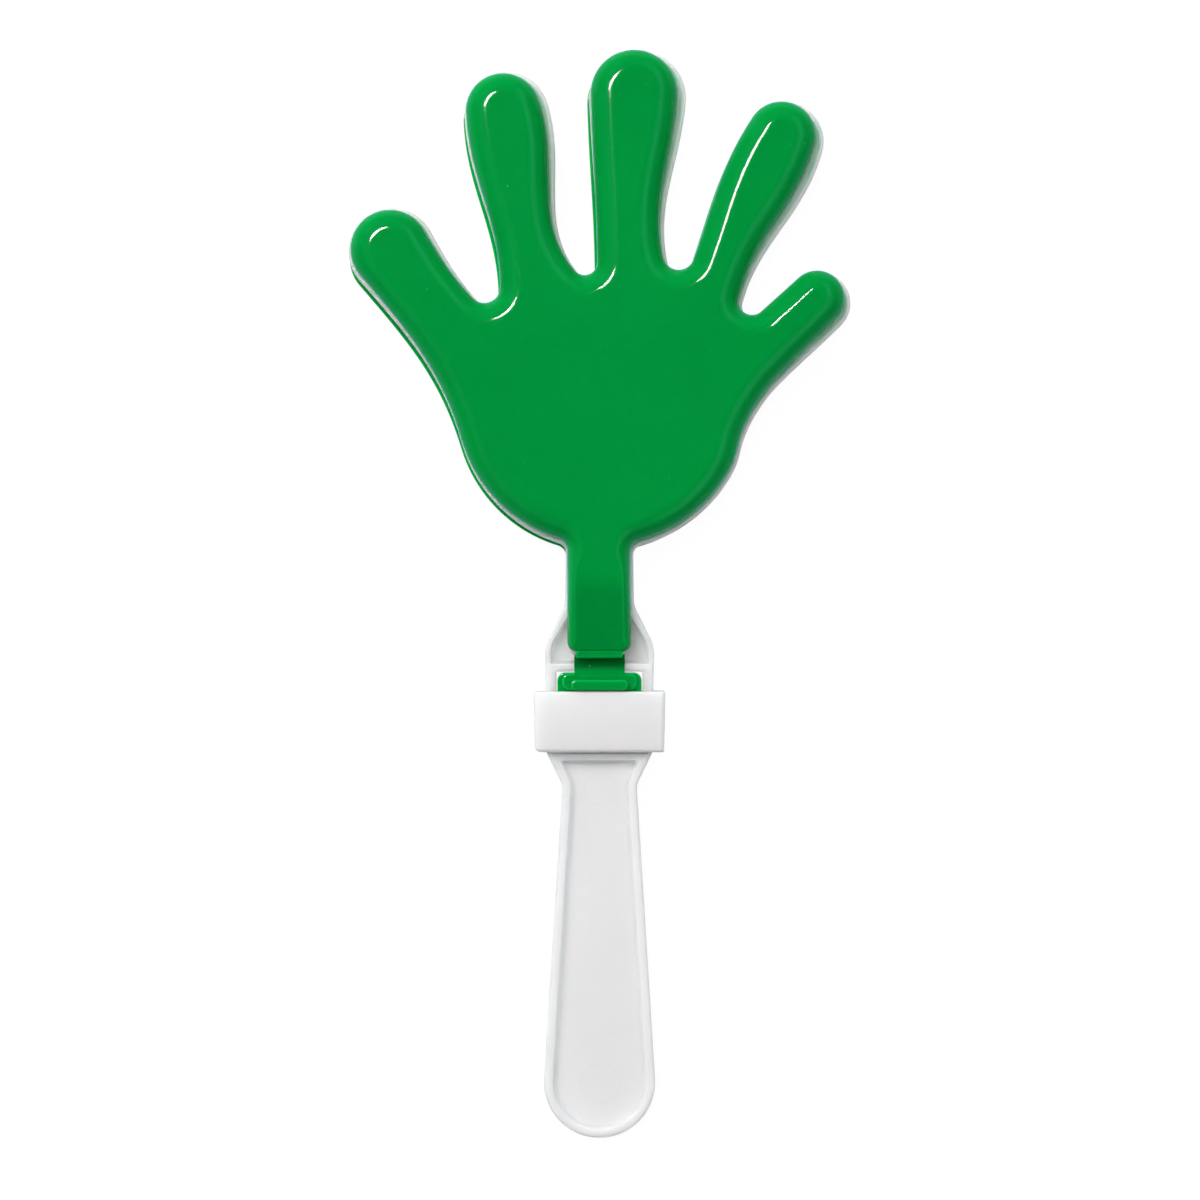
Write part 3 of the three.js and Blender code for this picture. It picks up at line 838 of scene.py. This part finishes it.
def effect(name, build):
    """Node group by name, built once"""
    return bpy.data.node_groups.get(name) or build()


def new_material(name):
    """Material with its wiring, a Principled shader and object coordinates"""
    material = bpy.data.materials.new(name)
    material.use_nodes = True
    shader = material.node_tree.nodes["Principled BSDF"]
    w = Wiring(material.node_tree)
    place = w.add("ShaderNodeTexCoord").outputs["Object"]
    return material, shader, w, place


def surface_effects(w, place, skin, waves, wear):
    """Skin group, scratch mask and dust mask of a moulded surface"""
    skin_inputs = {"Vector": place, "Skin": skin, "Waves": waves}
    worn = {"Vector": place, "Amount": wear}
    skin = w.group(effect("mould skin", mould_skin_group), skin_inputs)
    scratches = w.group(effect("fine scratches", scratch_group), worn).outputs["Mask"]
    dust = w.group(effect("dust specks", dust_group), worn).outputs["Mask"]
    return skin, scratches, dust


def shaded(base, factor):
    """Opaque colour, darker or lighter by a factor"""
    return (*(base * factor), 1)


def finish_shader(w, shader, height, inputs):
    """Feeds the Principled shader of a plastic, its bump included"""
    depth = {"Height": height, "Strength": BUMP_STRENGTH, "Distance": BUMP_DISTANCE}
    bump = w.add("ShaderNodeBump", depth).outputs[0]
    w.feed(shader, {"Normal": bump, "IOR": PLASTIC_IOR, **inputs})


def green_plastic(settings):
    """Glossy green plastic with fine scratches, dust, painted highlights on its rounded edges and
    painted shade on the bent arm and below the stop rib
    """
    name = "green gloss plastic"
    if name in bpy.data.materials:
        return bpy.data.materials[name]
    material, shader, w, place = new_material(name)
    skin, scratches, dust = surface_effects(w, place, 0.02, 0.15, settings.wear)
    green = Vector(settings.green)
    base = w.tint(skin.outputs["Cloud"], shaded(green, 0.97), shaded(green, 1.04))
    # Painted highlight: rounded edges paler green
    rim = w.add("ShaderNodeAttribute", attribute_name="rim").outputs["Fac"]
    base = w.tint(w.math("MULTIPLY", rim, 0.45), base, shaded(green, 1.5))
    # Painted shade: darker green on the top of the bent arm and on the strap below the stop rib
    painted_shade = w.add("ShaderNodeAttribute", attribute_name="painted_shade").outputs["Fac"]
    base = w.tint(w.math("MULTIPLY", painted_shade, 0.65), base, shaded(green, 0.1))
    base = w.tint(w.math("MULTIPLY", scratches, 0.1), base, GREEN_SCRATCH)
    base = w.tint(w.math("MULTIPLY", dust, 0.35), base, GREEN_DUST)
    rough = w.math("MULTIPLY_ADD", skin.outputs["Cloud"], 0.025, settings.green_roughness)
    rough = w.math("MULTIPLY_ADD", scratches, 0.22, rough)
    rough = w.math("MULTIPLY_ADD", dust, 0.3, rough, clamp=True)
    height = w.math("MULTIPLY_ADD", scratches, SCRATCH_HEIGHT, skin.outputs["Height"])
    inputs = {
        "Base Color": base,
        "Roughness": rough,
        "Specular IOR Level": 0.13,
        "Subsurface Weight": 0.6,
        "Subsurface Radius": (0.2, 1.0, 0.4),
        "Subsurface Scale": GREEN_SCATTER,
    }
    finish_shader(w, shader, height, inputs)
    return material


def white_plastic(settings, name, scatter, marks=()):
    """Satin white plastic with painted green-tinted shade on the hand's rim beside the green
    shells; light scatters over a distance in it, and marks are the centres and radii of ejector pin
    marks, in metres"""
    if name in bpy.data.materials:
        return bpy.data.materials[name]
    material, shader, w, place = new_material(name)
    skin, scratches, dust = surface_effects(w, place, 0.03, 0.5, settings.wear)
    white = Vector(settings.white)
    base = w.tint(skin.outputs["Cloud"], shaded(white, 0.985), shaded(white, 1.01))
    # Painted shade, green-tinted, on the hand's rim beside the green shell, stronger or weaker at
    # random
    painted_shade = w.add("ShaderNodeAttribute", attribute_name="painted_shade").outputs["Fac"]
    painted_shade = w.math("MULTIPLY", painted_shade, w.spread(w.noise(place, 140.0), 0.3, 0.6, 0.55, 0.85))
    base = w.tint(painted_shade, base, PAINTED_GREEN_SHADE)
    base = w.tint(w.math("MULTIPLY", scratches, 0.12), base, WHITE_SCRATCH)
    base = w.tint(w.math("MULTIPLY", dust, 0.3), base, WHITE_DUST)
    height = w.math("MULTIPLY_ADD", scratches, SCRATCH_HEIGHT, skin.outputs["Height"])
    for centre, radius in marks:
        inputs = {"Vector": place, "Centre": centre, "Radius": radius}
        ring = w.group(effect("pin mark", pin_mark_group), inputs).outputs["Mask"]
        height = w.math("MULTIPLY_ADD", ring, PIN_MARK_HEIGHT, height)
        base = w.tint(w.math("MULTIPLY", ring, 0.1), base, PIN_MARK_SHADE)
    rough = w.math("MULTIPLY_ADD", skin.outputs["Cloud"], 0.06, settings.white_roughness)
    rough = w.math("MULTIPLY_ADD", scratches, 0.15, rough, clamp=True)
    inputs = {
        "Base Color": base,
        "Roughness": rough,
        "Specular IOR Level": 0.2,
        "Subsurface Weight": 1.0,
        "Subsurface Radius": (0.9, 1.0, 1.0),
        "Subsurface Scale": scatter,
    }
    finish_shader(w, shader, height, inputs)
    return material


# Pieces


def green_shell(sizes):
    """Open-backed shell of hand and arm with its stop rib"""
    hand = hand_run()
    arm = arm_run(hand[-1])
    outline = hand + arm + mirrored(arm)
    depth, wall = sizes.shell_depth / MM, sizes.shell_wall / MM
    lip = sizes.rim_lip / MM
    shoulders = [shoulder_width(p, sizes) for p in outline]
    piece = Moulding()

    def shoulder_ring(angle, thickness, extra=0.0):
        across = 1 - math.cos(angle)
        insets = [thickness + (s - thickness) * across + extra for s in shoulders]
        points = [Edge(p.at - p.out * inset, p.out) for p, inset in zip(outline, insets)]
        rises = [(shell_depth(p, depth) - lip - thickness) * math.sin(angle) for p in points]
        return piece.ring(points, lambda i: SHELL_RIM + lip + rises[i])

    def rim_ring(inset, rise):
        # The shell's rim edge carries painted highlight
        return piece.ring(offset(outline, -inset), SHELL_RIM + rise, 1.0)

    halfway = RIM_ROUND * (1 - math.sqrt(0.5))
    inside = [shoulder_ring(math.pi / 2, wall, FLAT_BORDER)]
    inside += [shoulder_ring(angle, wall) for angle in reversed(quarter(6))]
    rim = [
        rim_ring(wall, RIM_ROUND),
        rim_ring(wall - halfway, halfway),
        rim_ring(wall - RIM_ROUND, 0),
        rim_ring(RIM_ROUND, 0),
        rim_ring(halfway, halfway),
        rim_ring(0, RIM_ROUND),
    ]
    outside = [shoulder_ring(angle, 0) for angle in quarter(14)]
    outside.append(shoulder_ring(math.pi / 2, 0, FLAT_BORDER))
    # Painted shade on the top of the bent arm
    for vert in outside[-2] + outside[-1]:
        vert[piece.painted_shade_layer] = ARM_SHADE * smooth_share(vert.co.y, *ARM_SHADE_BLEND)
    piece.skin(inside + rim + outside)
    for ring in (inside[0], outside[-1]):
        arm_cap(piece, ring, len(hand))
    bottom = HINGE_Y + STOP_RIB_REACH
    rib = rectangle(HAND_RIB_HALF_WIDTH, bottom + HAND_RIB_LENGTH, bottom, HAND_RIB_CORNER)
    piece.block(rib, SHELL_RIM + RIB_LIFT, STOP_RIB_TOP, RIB_EDGE)
    return piece


def arm_cap(piece, ring, hand_count):
    """Cap of a shell: one face over the hand, cross strips over the bent arm"""
    piece.cap(ring[:hand_count])
    count = len(ring)
    for i in range((count - hand_count) // 2):
        left, right = hand_count - 1 + i, (count - i) % count
        piece.bm.faces.new((ring[right], ring[left], ring[left + 1], ring[count - i - 1]))


def strap(slip):
    """Living hinge between rib and anchor, thinned at its middle, with painted shadow below the
    stop rib
    """
    piece = Moulding()
    top, bottom = HINGE_Y + STOP_RIB_REACH + STRAP_LAP - slip, WINDOW_TOP_Y - STRAP_LAP
    necked_top, necked_bottom = top - STRAP_LAP, bottom + STRAP_NECK_END
    rings = []
    for i in range(STRAP_STEPS + 1):
        y = mix(top, bottom, i / STRAP_STEPS)
        share = min(1.0, max(0.0, (necked_top - y) / (necked_top - necked_bottom)))
        high = STRAP_TOP - STRAP_SINK - STRAP_NECKING * math.sin(math.pi * share) ** 2
        section = rectangle(STRAP_HALF_WIDTH, high, SHELL_RIM, STRAP_EDGE)
        rings.append([piece.bm.verts.new((p.at.x, y, p.at.y)) for p in section])
        # Painted shadow of the stop rib, darkest next to it
        for vert in rings[-1]:
            vert[piece.painted_shade_layer] = smooth_share(y, *RIB_SHADOW_BLEND)
    piece.skin(rings)
    piece.cap(rings[0])
    piece.cap(rings[-1])
    return piece


def anchor():
    """Plate with its tee foot, tier and stop rib"""
    piece = Moulding()
    top, bottom = WINDOW_TOP_Y - SEAT_GAP, WINDOW_BOTTOM_Y + SEAT_GAP
    half = WINDOW_HALF_WIDTH - SEAT_GAP
    foot, foot_top = half + FOOT_OVERHANG, bottom + FOOT_LENGTH
    plate = tee(half, foot, top, foot_top, bottom, FOOT_CORNER, PLATE_CORNER)
    rib_top, rib_bottom = HINGE_Y - STOP_RIB_REACH, COLLAR_TOP_Y + SEAT_GAP
    tier = rectangle(half - TIER_INSET, top - SEAT_GAP / 2, rib_bottom, TIER_CORNER)
    rib = rectangle(ANCHOR_RIB_HALF_WIDTH, rib_top, rib_bottom, ANCHOR_RIB_CORNER)
    piece.block(plate, SEAT_GAP / 2, MIDDLE_FACE, PLATE_EDGE)
    piece.block(tier, MIDDLE_FACE / 2, STRAP_TOP, TIER_EDGE)
    piece.block(rib, MIDDLE_FACE, STOP_RIB_TOP, RIB_EDGE)
    return piece


def white_hand_run(sizes):
    """Outline of the white hand, which widens towards the tips and sits a little lower"""
    palm = Vector((PALM.x, PALM.y))

    def margin(p):
        tip_share = min(1.0, max(0.0, ((p.at - palm).length - PALM.radius) / MARGIN_REACH))
        return mix(NECK_MARGIN, mix(PALM_MARGIN, sizes.tip_margin / MM, tip_share), hand_share(p))

    drop = Vector((0, -WHITE_HAND_DROP))
    return [Edge(p.at + drop, p.out) for p in offset(hand_run(), margin)]


def hand_pocket(spread, sizes):
    """Mouth of the pocket in hand, neck and frame, spread by a distance into its rim"""

    def rim(p):
        width = mix(FRAME_RIM, sizes.hand_rim / MM, smooth_share(p.at.y, *RIM_BLEND))
        return spread - width

    bottom = WINDOW_TOP_Y + CROSSBAR_WIDTH - spread
    right = offset(shoulder_run(), rim)
    hand = offset(white_hand_run(sizes), rim)
    corner = reach_height(right[0], bottom)
    start = corner_edges(Vector((0, bottom)), corner, right[0].at, POCKET_CORNER)
    side = start + right
    return side + hand + mirrored(side)


def grip_pocket(spread, sizes):
    """Mouth of the tray in the grip, spread by a distance into its rim"""
    top = WINDOW_BOTTOM_Y - LOWER_BAR_WIDTH + spread
    right = offset(grip_run(), spread - sizes.grip_rim / MM)
    corner = reach_height(right[-1], top)
    side = right + corner_edges(right[-1].at, corner, Vector((0, top)), POCKET_CORNER)
    return side + mirrored(side)[:-1]


def window_outline(spread):
    """Window through the frame, spread by a distance into its walls"""
    foot = WINDOW_HALF_WIDTH + FOOT_OVERHANG
    foot_top = WINDOW_BOTTOM_Y + FOOT_LENGTH + 2 * SEAT_GAP
    levels = (WINDOW_TOP_Y, foot_top, WINDOW_BOTTOM_Y)
    outline = tee(WINDOW_HALF_WIDTH, foot, *levels, WINDOW_CORNER, WINDOW_CORNER)
    return offset(outline, spread)


def mouth_rings(piece, outline_at, side):
    """Rounded mouth of a hole in the face on one side, from the flat border inwards"""
    face = side * MIDDLE_FACE
    rings = [piece.ring(outline_at(MOUTH_ROUND + FLAT_BORDER), face)]
    for angle in quarter(4):
        spread = MOUTH_ROUND * (1 - math.sin(angle))
        drop = MOUTH_ROUND * (1 - math.cos(angle))
        rings.append(piece.ring(outline_at(spread), face - side * drop, 1.0))
    return rings


def pocket(piece, outline_at, floor, side):
    """Pocket with drafted walls and a rounded floor edge; returns its border ring"""
    rings = mouth_rings(piece, outline_at, side)
    for angle in quarter(4):
        inset = POCKET_DRAFT + POCKET_FLOOR_ROUND * (1 - math.cos(angle))
        level = floor + POCKET_FLOOR_ROUND * (1 - math.sin(angle))
        rings.append(piece.ring(outline_at(-inset), side * level))
    inset = POCKET_DRAFT + POCKET_FLOOR_ROUND + FLAT_BORDER
    rings.append(piece.ring(outline_at(-inset), side * floor))
    piece.skin(rings)
    piece.cap(rings[-1])
    return rings[0]


def handle(sizes):
    """White moulding: hand, neck, frame with its window, and grip"""
    piece = Moulding()
    right = grip_run() + foot_run() + shoulder_run()
    outline = right + white_hand_run(sizes) + mirrored(right)[:-1]
    round_edge = sizes.white_edge / MM
    upper = []
    lower = []

    def painted_shade_share(p):
        return smooth_share(p.at.y, *PAINTED_SHADE_BLEND)

    for angle in quarter(6):
        inset = round_edge * (1 - math.cos(angle))
        level = MIDDLE_FACE - round_edge * (1 - math.sin(angle))
        upper.append(piece.ring(offset(outline, -inset), level, 1.0))
        lower.append(piece.ring(offset(outline, -inset), -level, 1.0))
    flat = round_edge + FLAT_BORDER
    # Border rings that carry the painted green-tinted shade along the hand's rim
    for reach, painted_shade in ((flat, PAINTED_SHADE_AT_EDGE), (PAINTED_SHADE_INSET, 1.0)):
        border = offset(outline, lambda p: -mix(flat, reach, painted_shade_share(p)) - RING_GAP * painted_shade)
        for rings, level in ((upper, MIDDLE_FACE), (lower, -MIDDLE_FACE)):
            rings.append(piece.ring(border, level))
            for vert, p in zip(rings[-1], outline):
                vert[piece.painted_shade_layer] = painted_shade * painted_shade_share(p)
    piece.skin(lower[::-1] + upper)
    window = [mouth_rings(piece, window_outline, side) for side in (1, -1)]
    piece.skin(window[0] + window[1][::-1])
    for side, outer, hole in ((1, upper[-1], window[0][0]), (-1, lower[-1], window[1][0])):
        trays = [
            pocket(piece, lambda spread: hand_pocket(spread, sizes), WEB_FLOOR, side),
            pocket(piece, lambda spread: grip_pocket(spread, sizes), GRIP_FLOOR, side),
        ]
        piece.fill([outer, hole, *trays])
    return piece


def collar():
    """Rectangular sleeve with a slight draft and an unevenly rounded foot"""
    piece = Moulding()
    hole_width, hole_height = GRIP_HALF_WIDTH + SEAT_GAP, MIDDLE_FACE + SEAT_GAP
    height = hole_height + COLLAR_WALL
    width = hole_width + COLLAR_WALL
    outer = rectangle(width, height, -height, COLLAR_CORNER)
    hole = rectangle(hole_width, hole_height, -hole_height, COLLAR_CORNER / 2)
    foot_y = COLLAR_TOP_Y - COLLAR_LENGTH

    def side_round(p):
        return COLLAR_FOOT_LEFT if p.at.x < 0 else COLLAR_FOOT_RIGHT

    def foot_round(p):
        return mix(COLLAR_FOOT_FACE, side_round(p), abs(p.out.x))

    def foot_edge(p, across):
        share_x = 1 - (COLLAR_DRAFT + side_round(p) * across) / width
        share_z = 1 - (COLLAR_DRAFT + COLLAR_FOOT_FACE * across) / height
        return Edge(Vector((p.at.x * share_x, p.at.y * share_z)), p.out)

    def section(points, heights, rim=1.0):
        verts = []
        for p, y in zip(points, heights):
            vert = piece.bm.verts.new((p.at.x, y, p.at.y))
            vert[piece.edge_highlight_layer] = rim
            verts.append(vert)
        return verts

    rings = []
    for angle in quarter(5):
        inset = COLLAR_TOP_ROUND * (1 - math.sin(angle))
        y = COLLAR_TOP_Y - COLLAR_TOP_ROUND * (1 - math.cos(angle))
        rings.append(section(offset(outer, -inset), [y] * len(outer)))
    for angle in quarter(8):
        points = [foot_edge(p, 1 - math.cos(angle)) for p in outer]
        heights = [foot_y + foot_round(p) * (1 - math.sin(angle)) for p in outer]
        rings.append(section(points, heights))
    for y, ahead in ((foot_y, 1), (COLLAR_TOP_Y, -1)):
        angles = quarter(4) if ahead > 0 else quarter(4)[::-1]
        for angle in angles:
            spread = COLLAR_MOUTH_ROUND * (1 - math.sin(angle))
            inward = COLLAR_MOUTH_ROUND * (1 - math.cos(angle))
            rings.append(section(offset(hole, spread), [y + ahead * inward] * len(hole)))
    piece.skin(rings, closed=True)
    return piece


class CLAPPER_OT_hands(bpy.types.Operator):
    """Build the living hinges"""

    bl_idname = "clapper.hands"
    bl_label = "Green hands"

    def execute(self, context):
        scene = context.scene
        finish = green_plastic(scene.clapper_finishes)
        front = green_shell(scene.clapper_mouldings).finish("front_green_hand", turn=FRONT_TURN)
        dress(front, "front_hand", "front_hand", finish)
        shell = green_shell(scene.clapper_mouldings)
        back = shell.finish("back_green_hand", flipped=True, turn=BACK_TURN, slip=BACK_SLIP)
        dress(back, "back_hand", "back_hand", finish)
        return {"FINISHED"}


class CLAPPER_OT_straps(bpy.types.Operator):
    """Build the living hinges and let them bend"""

    bl_idname = "clapper.straps"
    bl_label = "Living hinges"

    def execute(self, context):
        finish = green_plastic(context.scene.clapper_finishes)
        for side, hand, slip in (("front", "front_hand", 0.0), ("back", "back_hand", BACK_SLIP)):
            obj = strap(slip).finish(f"{side}_living_hinge", flipped=side == "back")
            dress(obj, f"{side}_hinge_strap", None, finish)
            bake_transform(obj)
        return {"FINISHED"}


class CLAPPER_OT_anchors(bpy.types.Operator):
    """Build the anchors that sit in the window"""

    bl_idname = "clapper.anchors"
    bl_label = "Anchors"

    def execute(self, context):
        finish = green_plastic(context.scene.clapper_finishes)
        for side in ("front", "back"):
            obj = anchor().finish(f"{side}_green_anchor", flipped=side == "back")
            dress(obj, f"{side}_anchor", "handle", finish)
        return {"FINISHED"}


class CLAPPER_OT_handle(bpy.types.Operator):
    """Build the white middle hand with its frame and grip"""

    bl_idname = "clapper.handle"
    bl_label = "Middle hand and handle"

    def execute(self, context):
        scene = context.scene
        floor = (MIDDLE_PLANE + GRIP_FLOOR) * MM
        marks = [((PIN_MARK_X, y, floor), radius) for y, radius in PIN_MARKS]
        finishes = scene.clapper_finishes
        finish = white_plastic(finishes, "white handle plastic", HANDLE_SCATTER, marks)
        obj = handle(scene.clapper_mouldings).finish("white_hand_and_handle")
        dress(obj, "middle_hand_and_handle", "handle", finish)
        return {"FINISHED"}


class CLAPPER_OT_collar(bpy.types.Operator):
    """Build the collar that locks the anchors"""

    bl_idname = "clapper.collar"
    bl_label = "Collar"

    def execute(self, context):
        finishes = context.scene.clapper_finishes
        finish = white_plastic(finishes, "white collar plastic", COLLAR_SCATTER)
        obj = collar().finish("white_collar")
        dress(obj, "collar", "collar", finish)
        return {"FINISHED"}


# Studio

# Background as the camera sees it, and as the plastic mirrors it
WHITE = (1, 1, 1, 1)
COOL_WHITE = (0.3, 0.95, 1, 1)

# Directions in degrees, distances and sizes in metres
LIGHT_TARGET = (0, -0.03, 0.015)
SOFTBOX = Lamp(127, 20, 2.5, (0.46, 0.6))
KEY_LIGHT = Lamp(128, 42, 1.8, (1.0, 1.0))
TOP_LIGHT = Lamp(90, 6, 2.0, (0.7, 0.7))
CAMERA_PLACE = (0.00013, -0.05147)
FLOOR_RADII = (0.4, 1.2, 4.0)
FLOOR_SEGMENTS = 96
FLOOR_DROP = 0.0002


def soft_lamp(name, lamp, power):
    """Soft oval lamp that looks at the clapper"""
    light = bpy.data.lights.new(name, "AREA")
    light.shape = "ELLIPSE"
    light.size, light.size_y = lamp.size
    light.energy = power
    obj = bpy.data.objects.new(name, light)
    tilt, around = math.radians(lamp.off_zenith), math.radians(lamp.azimuth)
    across = math.sin(tilt)
    direction = Vector((across * math.cos(around), across * math.sin(around), math.cos(tilt)))
    obj.location = Vector(LIGHT_TARGET) + direction * lamp.distance
    obj.rotation_euler = (0, tilt, around)
    bpy.context.scene.collection.objects.link(obj)
    return obj


def ray_kinds(w):
    """Camera rays, mirrored rays, and the colour of the background for each ray"""
    path = w.add("ShaderNodeLightPath").outputs
    reflected = w.math("ADD", path["Is Glossy Ray"], path["Is Transmission Ray"], clamp=True)
    colour = w.tint(path["Is Glossy Ray"], WHITE, COOL_WHITE)
    return path["Is Camera Ray"], reflected, colour


def floor_material():
    """White floor that keeps a soft shadow"""
    material = bpy.data.materials.new("studio floor")
    material.use_nodes = True
    tree = material.node_tree
    tree.nodes.remove(tree.nodes["Principled BSDF"])
    w = Wiring(tree)
    camera, reflected, colour = ray_kinds(w)
    seen = w.math("ADD", camera, reflected, clamp=True)
    surface = w.add("ShaderNodeBsdfDiffuse", {"Color": (0.1, 0.1, 0.1, 1)}).outputs[0]
    glow = w.add("ShaderNodeEmission", {"Color": colour, "Strength": 0.95}).outputs[0]
    lit = w.add("ShaderNodeAddShader", {0: surface, 1: glow}).outputs[0]
    plain = w.add("ShaderNodeBsdfDiffuse", {"Color": (0.8, 0.8, 0.8, 1)}).outputs[0]
    both = w.add("ShaderNodeMixShader", {0: seen, 1: plain, 2: lit}).outputs[0]
    w.feed(tree.nodes["Material Output"], {"Surface": both})
    return material


def studio_world(fill, cards):
    """Even fill and a white background, mirrored as a horizon, soft cards and a dark ceiling"""
    world = bpy.data.worlds.new("studio")
    bpy.context.scene.world = world
    world.use_nodes = True
    w = Wiring(world.node_tree)
    background = world.node_tree.nodes["Background"]
    direction = w.add("ShaderNodeTexCoord").outputs["Generated"]
    parts = w.add("ShaderNodeSeparateXYZ", {0: direction}).outputs
    horizon = w.spread(parts["Z"], 0.0, 0.1, 1.0, 0.14)
    ceiling = w.spread(parts["Z"], 0.55, 0.93, 1.0, 0.15)
    surround = w.math("MULTIPLY", horizon, ceiling)
    high_part = w.spread(parts["Z"], 0.45, 0.7)
    for side, level in ((1, cards), (-1, 0.4 * cards)):
        near = w.spread(parts["X"], side * 0.2, side * 0.5, 0.0, level)
        card = w.math("MULTIPLY", near, w.spread(parts["X"], side * 0.55, side * 0.85, 1.0, 0.0))
        surround = w.math("MULTIPLY_ADD", card, high_part, surround)
    camera, reflected, colour = ray_kinds(w)
    seen = w.math("MULTIPLY_ADD", reflected, surround, camera)
    from_front = w.spread(parts["Y"], -0.8, 0.8, 0.3 * fill, 1.7 * fill)
    hidden = w.math("SUBTRACT", 1.0, w.math("ADD", reflected, camera), clamp=True)
    strength = w.math("MULTIPLY_ADD", hidden, from_front, seen)
    w.feed(background, {"Color": colour, "Strength": strength})


def studio_floor():
    """Large round floor under the clapper"""
    bm = bmesh.new()
    rings = []
    for radius in FLOOR_RADII:
        circle = bmesh.ops.create_circle(bm, segments=FLOOR_SEGMENTS, radius=radius)
        rings.append(circle["verts"])
    bm.faces.new(rings[0])
    for low, high in zip(rings, rings[1:]):
        for i in range(FLOOR_SEGMENTS):
            j = (i + 1) % FLOOR_SEGMENTS
            bm.faces.new((low[i], low[j], high[j], high[i]))
    mesh = bpy.data.meshes.new("studio_floor")
    bm.to_mesh(mesh)
    bm.free()
    floor = bpy.data.objects.new("studio_floor", mesh)
    floor.location.z = -FLOOR_DROP
    bpy.context.scene.collection.objects.link(floor)
    mesh.materials.append(floor_material())
    floor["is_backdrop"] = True


class CLAPPER_OT_stage(bpy.types.Operator):
    """Set up the floor, the lights and the camera"""

    bl_idname = "clapper.stage"
    bl_label = "Studio"

    def execute(self, context):
        scene = context.scene
        studio = scene.clapper_studio
        studio_floor()
        studio_world(studio.fill, studio.cards)
        soft_lamp("softbox", SOFTBOX, studio.softbox_power).visible_diffuse = False
        soft_lamp("key light", KEY_LIGHT, studio.key_power).visible_glossy = False
        soft_lamp("top light", TOP_LIGHT, studio.top_power).visible_glossy = False
        camera = bpy.data.cameras.new("photo camera")
        camera.angle = 2 * math.atan(studio.frame_width / 2 / studio.camera_height)
        eye = bpy.data.objects.new("photo camera", camera)
        face = (MIDDLE_PLANE + MIDDLE_FACE) * MM
        eye.location = (*CAMERA_PLACE, face + studio.camera_height)
        scene.collection.objects.link(eye)
        scene.camera = eye
        scene.view_settings.view_transform = "Standard"
        return {"FINISHED"}


OPERATORS = (
    CLAPPER_OT_stage,
    CLAPPER_OT_handle,
    CLAPPER_OT_anchors,
    CLAPPER_OT_straps,
    CLAPPER_OT_hands,
    CLAPPER_OT_collar,
)
SETTINGS = {
    "clapper_mouldings": ClapperMouldings,
    "clapper_finishes": ClapperFinishes,
    "clapper_studio": ClapperStudio,
}


class CLAPPER_PT_panel(bpy.types.Panel):
    """Lists the pieces and their settings"""

    bl_idname = "CLAPPER_PT_panel"
    bl_label = "Hand clapper"
    bl_space_type = "VIEW_3D"
    bl_region_type = "UI"
    bl_category = "Clapper"

    def draw(self, context):
        for name, group in SETTINGS.items():
            box = self.layout.box()
            box.label(text=group.__doc__)
            for prop in group.__annotations__:
                box.prop(getattr(context.scene, name), prop)
        for operator in OPERATORS:
            self.layout.operator(operator.bl_idname)


def register():
    """Registers the settings, the operators and the panel"""
    for cls in (*SETTINGS.values(), *OPERATORS, CLAPPER_PT_panel):
        bpy.utils.register_class(cls)
    for name, group in SETTINGS.items():
        setattr(bpy.types.Scene, name, bpy.props.PointerProperty(type=group))


def unregister():
    """Removes what register added"""
    for name in SETTINGS:
        delattr(bpy.types.Scene, name)
    for cls in reversed((*SETTINGS.values(), *OPERATORS, CLAPPER_PT_panel)):
        bpy.utils.unregister_class(cls)


def main():
    """Builds every piece in order and works out the two boxes"""
    register()
    bpy.ops.clapper.stage()
    bpy.ops.clapper.handle()
    bpy.ops.clapper.anchors()
    bpy.ops.clapper.straps()
    bpy.ops.clapper.hands()
    bpy.ops.clapper.collar()
    boxes = {"cad": CAD_BOX, "visual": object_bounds()}
    {name: [list(corner) for corner in box] for name, box in boxes.items()}


if __name__ == "__main__":
    main()
